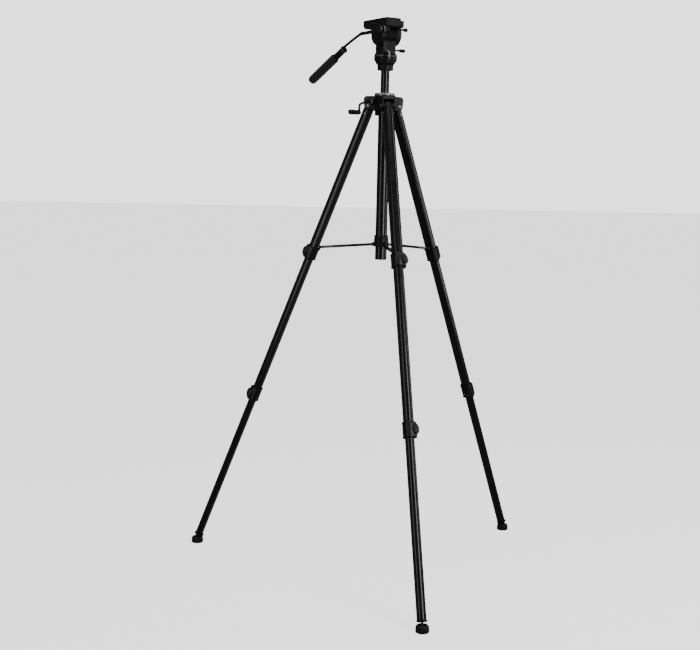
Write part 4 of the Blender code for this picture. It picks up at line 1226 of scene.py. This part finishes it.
class TRIPOD_OT_platform(bpy.types.Operator):
    """The tilting camera platform with its cheek, end screws and the handle's rosette"""

    bl_idname = "tripod.platform"
    bl_label = "Platform"

    def execute(self, context):
        place = head_place()
        tilt = place.inverted() @ joint_point("tilt")
        plate_low, plate_high = span("camera_plate", place)
        lever_low, lever_high = span("plate_lever", place)
        x0, x1 = plate_low.x, span("tilt_platform", place)[1].x
        y0, y1, z1 = plate_low.y, plate_high.y, plate_low.z - GAP
        z0 = z1 - 0.0190
        stand = placing(Vector((0, 1, 0)), UP, Vector((1, 0, 0)), (0, 0, 0))
        saddle = 0.0320
        dip = math.degrees(math.asin((z0 - tilt.z) / saddle))
        under = arc(saddle, 180 - dip, dip, 32, (0, tilt.z))
        nose = arc(0.006, 180, 250, 6, (y0 + 0.006, z0 + 0.0064))
        tail = [(0.048, z0), (0.058, z0 + 0.0012), (0.066, z0 + 0.0040), (y1 - 0.0012, z0 + 0.0090)]
        side = [(y0, z1)] + nose + under + tail + [(y1, z0 + 0.0120), (y1, z1)]
        cheek_right = -0.0218
        main = slab(side, cheek_right, x1, stand)
        flat = [(y0, z1)] + nose + [(y, z) for y, z in tail] + [(y1, z0 + 0.0120), (y1, z1)]
        pocket_side = slab(flat, x0 + 0.0036, cheek_right + 0.0002, stand)
        shapes = [main, pocket_side]
        before, after = lever_low.y - 0.0012, lever_high.y + 0.0012
        for low_y, high_y in ((y0, before), (after, y1)):
            outline = self.clipped(flat, low_y, high_y)
            shapes.append(slab(outline, x0, x0 + 0.0040, stand))
        for bottom, top in ((z0 + 0.0004, lever_low.z - 0.0008), (lever_high.z + 0.0008, z1)):
            shapes.append(block((x0, before - 0.0002, bottom), (x0 + 0.0040, after + 0.0002, top)))
        shapes += self.cheek(tilt.z, cheek_right)
        shapes += self.rosette(place)
        piece("platform_body", "platform", "casting", shapes, ["tilt_platform"], place)
        self.screws(place, x0, x1, y1, z1)
        return {"FINISHED"}

    def clipped(self, outline, low, high):
        """The part of the platform's side outline between two places along it."""
        kept = [(min(max(y, low), high), z) for y, z in outline]
        return [point for i, point in enumerate(kept) if point != kept[i - 1]]

    def cheek(self, height, right):
        """The round cheek beside the drum, with a stepped face and the axle's cap."""
        left = right - 0.0087
        radius = 0.0315
        profile = [
            (0.0053, left + 0.0012), (0.0240, left + 0.0012), (0.0250, left + 0.0004),
            (radius - 0.0022, left),
        ]
        profile += [
            (radius - 0.0006, left + 0.0007), (radius, left + 0.0022), (radius, right), (0.0053, right)
        ]
        disc = turned(profile, along((1, 0, 0), (0, 0, height)), 96, True)
        cap = [(0, left + 0.0002), (0.0082, left + 0.0002), (0.0090, left + 0.0012), (0.0090, left + 0.0030)]
        cap += [(0.0053, left + 0.0030), (0.0053, left + 0.0009), (0, left + 0.0009)]
        return [disc, turned(cap, along((1, 0, 0), (0, 0, height)), 56)]

    def rosette(self, place):
        """The serrated disc that the pan handle clamps to, on a boss under the platform."""
        pivot = place.inverted() @ joint_point("handle_angle")
        boss = block(
            (pivot.x + 0.0012, pivot.y - 0.0040, pivot.z - 0.0085),
            (-0.0225, -0.0275, pivot.z + 0.0095),
            edge=0.0010,
        )
        drum = turned(
            [(0.0034, 0.0040), (0.0096, 0.0040), (0.0098, 0.0076), (0.0034, 0.0076)],
            along((1, 0, 0), (pivot.x, pivot.y, pivot.z)),
            56,
            True,
        )
        teeth = slab(fluted(0.0098, 0.0007, 24), 0.0, 0.0041, along((1, 0, 0), pivot), 0.0003)
        return [boss, drum, teeth]

    def screws(self, place, x0, x1, y1, z1):
        """Two screws in the grip's end of the platform."""
        screws = [
            screw_head(0.0021, 0.0006, place @ along((0, 1, 0), (x, y1 - 0.0004, z1 - 0.0035)))
            for x in (x0 + 0.008, x1 - 0.008)
        ]
        piece("platform_screws", "platform", "steel", screws)


class TRIPOD_OT_camera_plate(bpy.types.Operator):
    """The quick-release plate with its rubber pad, captive screw and locking lever"""

    bl_idname = "tripod.camera_plate"
    bl_label = "Camera Plate"

    def execute(self, context):
        place = head_place()
        low, high = span("camera_plate", place)
        screw = place.inverted() @ joint_point("camera_screw_turn")
        tray_top = high.z - 0.0014
        tray = self.holed(low, Vector((high.x, high.y, tray_top)), screw, 0.0038)
        piece("plate_tray", "camera_plate", "plastic", tray, ["camera_plate"], place)
        pad_low = Vector((low.x + 0.0024, low.y + 0.0030, tray_top))
        pad_high = Vector((high.x - 0.0024, high.y - 0.0030, high.z - 0.0004))
        pads = self.holed(pad_low, pad_high, screw, 0.0050)
        ribs = 26
        run = (pad_high.y - pad_low.y - 0.0040) / ribs
        for i in range(ribs):
            y = pad_low.y + 0.0020 + i * run
            clear = abs(y + run * 0.3 - screw.y) > 0.0062
            spans = [(pad_low.x + 0.0012, pad_high.x - 0.0012)]
            if not clear:
                spans = [(pad_low.x + 0.0012, screw.x - 0.0064), (screw.x + 0.0064, pad_high.x - 0.0012)]
            for left, right in spans:
                pads.append(block((left, y, high.z - 0.0008), (right, y + run * 0.6, high.z), edge=0.0002))
        piece("plate_pad", "camera_plate", "rubber", pads, place=place)
        self.screw(place, screw)
        self.lever(place)
        return {"FINISHED"}

    def holed(self, low, high, hole, radius):
        """A flat block with a round hole: a ring round the hole inside a square, and four bars round that."""
        size = 0.0100
        bars = [
            (low.x, hole.y + size, high.x, high.y),
            (low.x, low.y, high.x, hole.y - size),
            (low.x, hole.y - size, hole.x - size, hole.y + size),
            (hole.x + size, hole.y - size, high.x, hole.y + size),
        ]
        count = 32
        inner, outer = [], []
        for i in range(count):
            angle = math.tau * i / count
            aim = Vector((math.cos(angle), math.sin(angle)))
            inner.append(aim * radius)
            outer.append(aim * (size / max(abs(aim.x), abs(aim.y))))
        rings = []
        for ring, height in ((inner, low.z), (outer, low.z), (outer, high.z), (inner, high.z)):
            rings.append([Vector((hole.x + p.x, hole.y + p.y, height)) for p in ring])
        shapes = [lofted(rings, closed=True)]
        for x0, y0, x1, y1 in bars:
            if x1 - x0 > 0.0002 and y1 - y0 > 0.0002:
                shapes.append(block((x0, y0, low.z), (x1, y1, high.z)))
        return shapes

    def screw(self, place, at):
        low, high = span("camera_screw", place)
        thread = [
            (0, low.z), (0.0090, low.z), (0.0092, low.z + 0.0003), (0.0092, low.z + 0.0025),
            (0.0088, low.z + 0.0028),
        ]
        thread += [(0.0031, low.z + 0.0028)]
        height = low.z + 0.0032
        while height < high.z - 0.0008:
            thread += [(0.00275, height), (0.00315, height + 0.0003)]
            height += 0.00064
        thread += [(0.0027, high.z - 0.0001), (0, high.z)]
        stud = turned(thread, Matrix.Translation((at.x, at.y, 0)), 48)
        piece("mounting_screw", "camera_screw", "steel", [stud], ["camera_screw"], place)

    def lever(self, place):
        low, high = span("plate_lever", place)
        left = place.inverted() @ joint_point("plate_lever_turn")
        x, y0, y1 = left.x, low.y, high.y
        inside = [
            Vector((x - 0.0010, y0 + 0.0016)),
            Vector((x - 0.0011, y1 - 0.0200)),
            Vector((x - 0.0032, y1 - 0.0085)),
        ]
        inside += [Vector((x - 0.0043, y1 - 0.0006))]
        path = curved([Vector((p.x + 0.0006, p.y, left.z)) for p in inside], 10)
        blade = swept(path, [0.0030] * len(path), sides=20, flat=0.32)
        root = block(
            (x - 0.0012, y0 + 0.0002, low.z + 0.0004),
            (x + 0.0026, y0 + 0.0120, high.z - 0.0004),
            edge=0.0006,
        )
        piece("plate_catch", "plate_lever", "lever", [blade, root], ["plate_lever"], place)


class TRIPOD_OT_knobs(bpy.types.Operator):
    """The fluted knobs that lock pan and tilt"""

    bl_idname = "tripod.knobs"
    bl_label = "Lock Knobs"

    def execute(self, context):
        place = head_place()
        for node in ("pan_lock_knob", "tilt_lock_knob"):
            at = place.inverted() @ joint_point(node.replace("_knob", "_turn"))
            low, high = span(node, place)
            radius = (high.z - low.z) / 2
            length = high.x - at.x
            stand = along((1, 0, 0), at)
            stem = [(0, low.x - at.x), (0.0026, low.x - at.x), (0.0026, 0.001), (0, 0.001)]
            neck = [
                (0, 0), (radius * 0.62, 0), (radius * 0.58, length * 0.22), (radius * 0.84, length * 0.42),
                (0, length * 0.42),
            ]
            crown = [(0, length - 0.0022), (radius * 0.86, length - 0.0022), (radius * 0.82, length - 0.0006)]
            crown += [(radius * 0.70, length), (radius * 0.30, length), (0, length - 0.0004)]
            grip = slab(fluted(radius, 0.0008, 10), length * 0.36, length - 0.0010, stand, 0.0005)
            shapes = [turned(neck, stand, 48), turned(crown, stand, 48), grip]
            piece(f"{node}_grip", node, "plastic", shapes, [node], place)
            piece(f"{node}_screw", node, "steel", [turned(stem, stand, 32)], place=place)
        return {"FINISHED"}


class TRIPOD_OT_pan_handle(bpy.types.Operator):
    """The pan handle: arm, bent rod, ferrule and foam grip, with the knob that clamps it"""

    bl_idname = "tripod.pan_handle"
    bl_label = "Pan Handle"

    def execute(self, context):
        place = head_place()
        sizes = context.scene.tripod_sizes
        pivot = place.inverted() @ joint_point("handle_angle")
        bends = [
            Vector((pivot.x - 0.00375, pivot.y, pivot.z)),
            Vector((-0.0600, 0.0370, 1.5062)),
            Vector((-0.0745, 0.1029, 1.4734)),
            Vector((-0.0825, 0.1392, 1.4451)),
            Vector((-0.1045, 0.2412, 1.3886)),
        ]
        face = along((-1, 0, 0), (pivot.x - GAP, pivot.y, pivot.z))
        profile = [(0.0034, 0), (0.0096, 0), (0.0099, 0.0003), (0.0099, 0.0048), (0.0092, 0.0054)]
        eye = turned(profile + [(0.0092, 0.0068), (0.0034, 0.0068)], face, 64, True)
        root = block(
            (pivot.x - 0.0070, pivot.y + 0.004, pivot.z - 0.0058),
            (pivot.x - GAP, pivot.y + 0.0143, pivot.z + 0.0046),
            edge=0.0010,
        )
        rim = [
            (0.0090, 0.0050), (0.0098, 0.0050), (0.0100, 0.0054), (0.0100, 0.0064), (0.0096, 0.0070),
            (0.0090, 0.0070),
        ]
        piece("handle_eye_ring", "pan_handle", "trim", [turned(rim, face, 64, True)], place=place)
        start, end = bends[0].lerp(bends[1], 0.16), bends[0].lerp(bends[1], 1.0)
        beyond = bends[1].lerp(bends[2], 0.10)
        steps = 12
        path = [start.lerp(end, i / steps) for i in range(steps + 1)] + [beyond]
        widths = [0.0056 - 0.0010 * i / steps for i in range(steps + 1)] + [sizes.rod_radius]
        arm = swept(path, widths, sides=32)
        piece("handle_arm", "pan_handle", "casting", [eye, root, arm], ["pan_handle_rod"], place)
        bend = curved([bends[1].lerp(bends[0], 0.1), bends[1], bends[2], bends[3]], 16)
        rod = swept(bend, [sizes.rod_radius] * len(bend))
        piece("handle_rod", "pan_handle", "tube", [rod], place=place)
        self.grip(place, bends)
        self.clamp_knob(place, pivot)
        return {"FINISHED"}

    def grip(self, place, bends):
        aim = (bends[4] - bends[2]).normalized()
        stand = along(aim, bends[3])
        length = (bends[4] - bends[3]).length
        neck = (bends[3] - bends[2]).length
        foam = [(0, 0.0002), (0.0122, 0.0002), (0.0130, 0.0010), (0.0131, 0.0030)]
        foam += [(0.0131 - 0.0002 * i / 5, 0.0030 + (length - 0.0150) * i / 5) for i in range(1, 6)]
        foam += [
            (0.0124, length - 0.0080), (0.0109, length - 0.0042), (0.0080, length - 0.0014),
            (0.0040, length - 0.0002), (0, length),
        ]
        piece("handle_grip", "pan_handle", "foam", [turned(foam, stand, 72)], ["pan_handle_grip"], place)
        sleeve = [
            (0.0040, -neck), (0.0098, -neck), (0.0108, 0.0010 - neck), (0.0108, 0.0030 - neck),
            (0.0098, 0.0036 - neck),
        ]
        sleeve += [
            (0.0094, 0.0044 - neck), (0.0094, -0.0052), (0.0100, -0.0046), (0.0110, -0.0040),
            (0.0116, -0.0006),
        ]
        sleeve += [(0.0112, 0.0001), (0.0040, 0.0001)]
        piece("grip_ferrule", "pan_handle", "plastic", [turned(sleeve, stand, 72, True)], place=place)
        ring = [
            (0.0092, 0.0046 - neck), (0.0097, 0.0046 - neck), (0.0099, 0.0052 - neck),
            (0.0097, 0.0060 - neck), (0.0092, 0.0060 - neck),
        ]
        piece("ferrule_ring", "pan_handle", "trim", [turned(ring, stand, 72, True)], place=place)

    def clamp_knob(self, place, pivot):
        stand = along((-1, 0, 0), (pivot.x - 0.0078, pivot.y, pivot.z))
        grip = slab(fluted(0.0090, 0.0010, 9, 12), 0.0030, 0.0097, stand, 0.0007)
        neck = turned([(0, 0), (0.0058, 0), (0.0058, 0.0024), (0.0076, 0.0036), (0, 0.0036)], stand, 56)
        crown = [(0, 0.0090), (0.0074, 0.0090), (0.0072, 0.0100), (0.0062, 0.0105), (0.0040, 0.0105)]
        crown += [(0.0034, 0.0100), (0, 0.0099)]
        piece(
            "clamp_knob_grip",
            "handle_clamp_knob",
            "plastic",
            [grip, neck, turned(crown, stand, 56)],
            ["handle_clamp_knob"],
            place,
        )
        stem = turned([(0, -0.0150), (0.0028, -0.0150), (0.0028, 0.0010), (0, 0.0010)], stand, 32)
        rim = turned(
            [(0.0066, 0.0088), (0.0083, 0.0088), (0.0085, 0.0093), (0.0078, 0.0099), (0.0066, 0.0099)],
            stand,
            56,
            True,
        )
        piece("clamp_knob_trim", "handle_clamp_knob", "trim", [stem, rim], place=place)


# ---------------------------------------------------------------- stage


class TRIPOD_OT_stage(bpy.types.Operator):
    """A pale floor, soft studio lights and the camera"""

    bl_idname = "tripod.stage"
    bl_label = "Stage"

    def execute(self, context):
        stage = context.scene.tripod_stage
        floor = bmesh.new()
        bmesh.ops.create_grid(floor, x_segments=1, y_segments=1, size=40)
        bmesh.ops.translate(floor, vec=(0, 0, -0.0002), verts=floor.verts)
        mesh = bpy.data.meshes.new("floor")
        floor.to_mesh(mesh)
        floor.free()
        paper = Finish("studio_paper", (0.86, 0.86, 0.86), 0.9)
        paper.set(Emission_Color=(1, 1, 1, 1), Emission_Strength=stage.white)
        mesh.materials.append(paper.material)
        obj = bpy.data.objects.new("floor", mesh)
        obj.visible_glossy = False
        obj.visible_diffuse = False
        context.scene.collection.objects.link(obj)
        self.sky(context, stage)
        self.light("left_softbox", (-2.6, -1.6, 1.6), (0, 0.1, 0.9), 0.5, 2.4, 12)
        self.light("key_softbox", (1.5, -2.9, 1.5), (0, 0.1, 0.9), 0.9, 2.4, 44)
        self.light("right_softbox", (2.8, -0.2, 1.6), (0, 0.1, 0.9), 0.4, 2.4, 14)
        self.light("top_softbox", (-0.2, -0.6, 3.4), (0, 0.1, 0.8), 2.0, 2.0, 24)
        self.camera(context, stage)
        return {"FINISHED"}

    def sky(self, context, stage):
        """A white cyclorama behind the tripod, which lights it only softly."""
        world = bpy.data.worlds.new("studio")
        world.use_nodes = True
        nodes, links = world.node_tree.nodes, world.node_tree.links
        background = nodes["Background"]
        background.inputs["Color"].default_value = (1, 1, 1, 1)
        path = nodes.new("ShaderNodeLightPath")
        strength = nodes.new("ShaderNodeMapRange")
        strength.inputs["To Min"].default_value = stage.fill
        strength.inputs["To Max"].default_value = stage.white + 0.6
        links.new(path.outputs["Is Camera Ray"], strength.inputs["Value"])
        links.new(strength.outputs["Result"], background.inputs["Strength"])
        context.scene.world = world

    def light(self, name, at, to, width, height, power):
        light = bpy.data.lights.new(name, "AREA")
        light.shape = "RECTANGLE"
        light.size = width
        light.size_y = height
        light.energy = power
        obj = bpy.data.objects.new(name, light)
        obj.location = at
        obj.rotation_euler = (Vector(to) - Vector(at)).to_track_quat("-Z", "Y").to_euler()
        bpy.context.scene.collection.objects.link(obj)

    def camera(self, context, stage):
        camera = bpy.data.cameras.new("camera")
        camera.lens = stage.lens
        camera.sensor_width = 36
        camera.shift_x, camera.shift_y = -0.0416, -0.0025
        camera.clip_end = 200
        obj = bpy.data.objects.new("camera", camera)
        turn = Matrix.Rotation(stage.bearing, 4, "Z")
        aim = turn @ Matrix.Rotation(math.pi / 2 - stage.dip, 4, "X") @ Matrix.Rotation(stage.roll, 4, "Z")
        stand = Matrix.Translation(COLUMN_AXIS + Vector((0, 0, stage.height)))
        away = turn @ Matrix.Translation((0, -stage.distance, 0))
        obj.matrix_world = Matrix.Translation((stand @ away).translation) @ aim
        context.scene.collection.objects.link(obj)
        context.scene.camera = obj


# ---------------------------------------------------------------- panel and registration

STEPS = (
    TRIPOD_OT_leg_tubes,
    TRIPOD_OT_leg_hinges,
    TRIPOD_OT_leg_clamps,
    TRIPOD_OT_clamp_levers,
    TRIPOD_OT_feet,
    TRIPOD_OT_brace,
    TRIPOD_OT_shoulder,
    TRIPOD_OT_column,
    TRIPOD_OT_crank,
    TRIPOD_OT_pan_base,
    TRIPOD_OT_head_body,
    TRIPOD_OT_platform,
    TRIPOD_OT_camera_plate,
    TRIPOD_OT_knobs,
    TRIPOD_OT_pan_handle,
    TRIPOD_OT_stage,
)
SETTINGS = (("tripod_sizes", TripodSizes), ("tripod_colours", TripodColours), ("tripod_stage", TripodStage))


class TRIPOD_PT_pieces(bpy.types.Panel):
    """The steps that make the tripod's looks, in order"""

    bl_idname = "TRIPOD_PT_pieces"
    bl_label = "Tripod"
    bl_space_type = "VIEW_3D"
    bl_region_type = "UI"
    bl_category = "Tripod"

    def draw(self, context):
        for group, kind in SETTINGS:
            box = self.layout.box()
            for name in kind.__annotations__:
                box.prop(getattr(context.scene, group), name)
        for step in STEPS:
            self.layout.operator(step.bl_idname)


def register():
    for group, kind in SETTINGS:
        bpy.utils.register_class(kind)
        setattr(bpy.types.Scene, group, bpy.props.PointerProperty(type=kind))
    for kind in (*STEPS, TRIPOD_PT_pieces):
        bpy.utils.register_class(kind)


def unregister():
    for kind in reversed((*STEPS, TRIPOD_PT_pieces)):
        bpy.utils.unregister_class(kind)
    for group, kind in reversed(SETTINGS):
        delattr(bpy.types.Scene, group)
        bpy.utils.unregister_class(kind)


def main():
    register()
    for step in STEPS:
        group, name = step.bl_idname.split(".")
        getattr(getattr(bpy.ops, group), name)()
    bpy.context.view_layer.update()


if __name__ == "__main__":
    main()
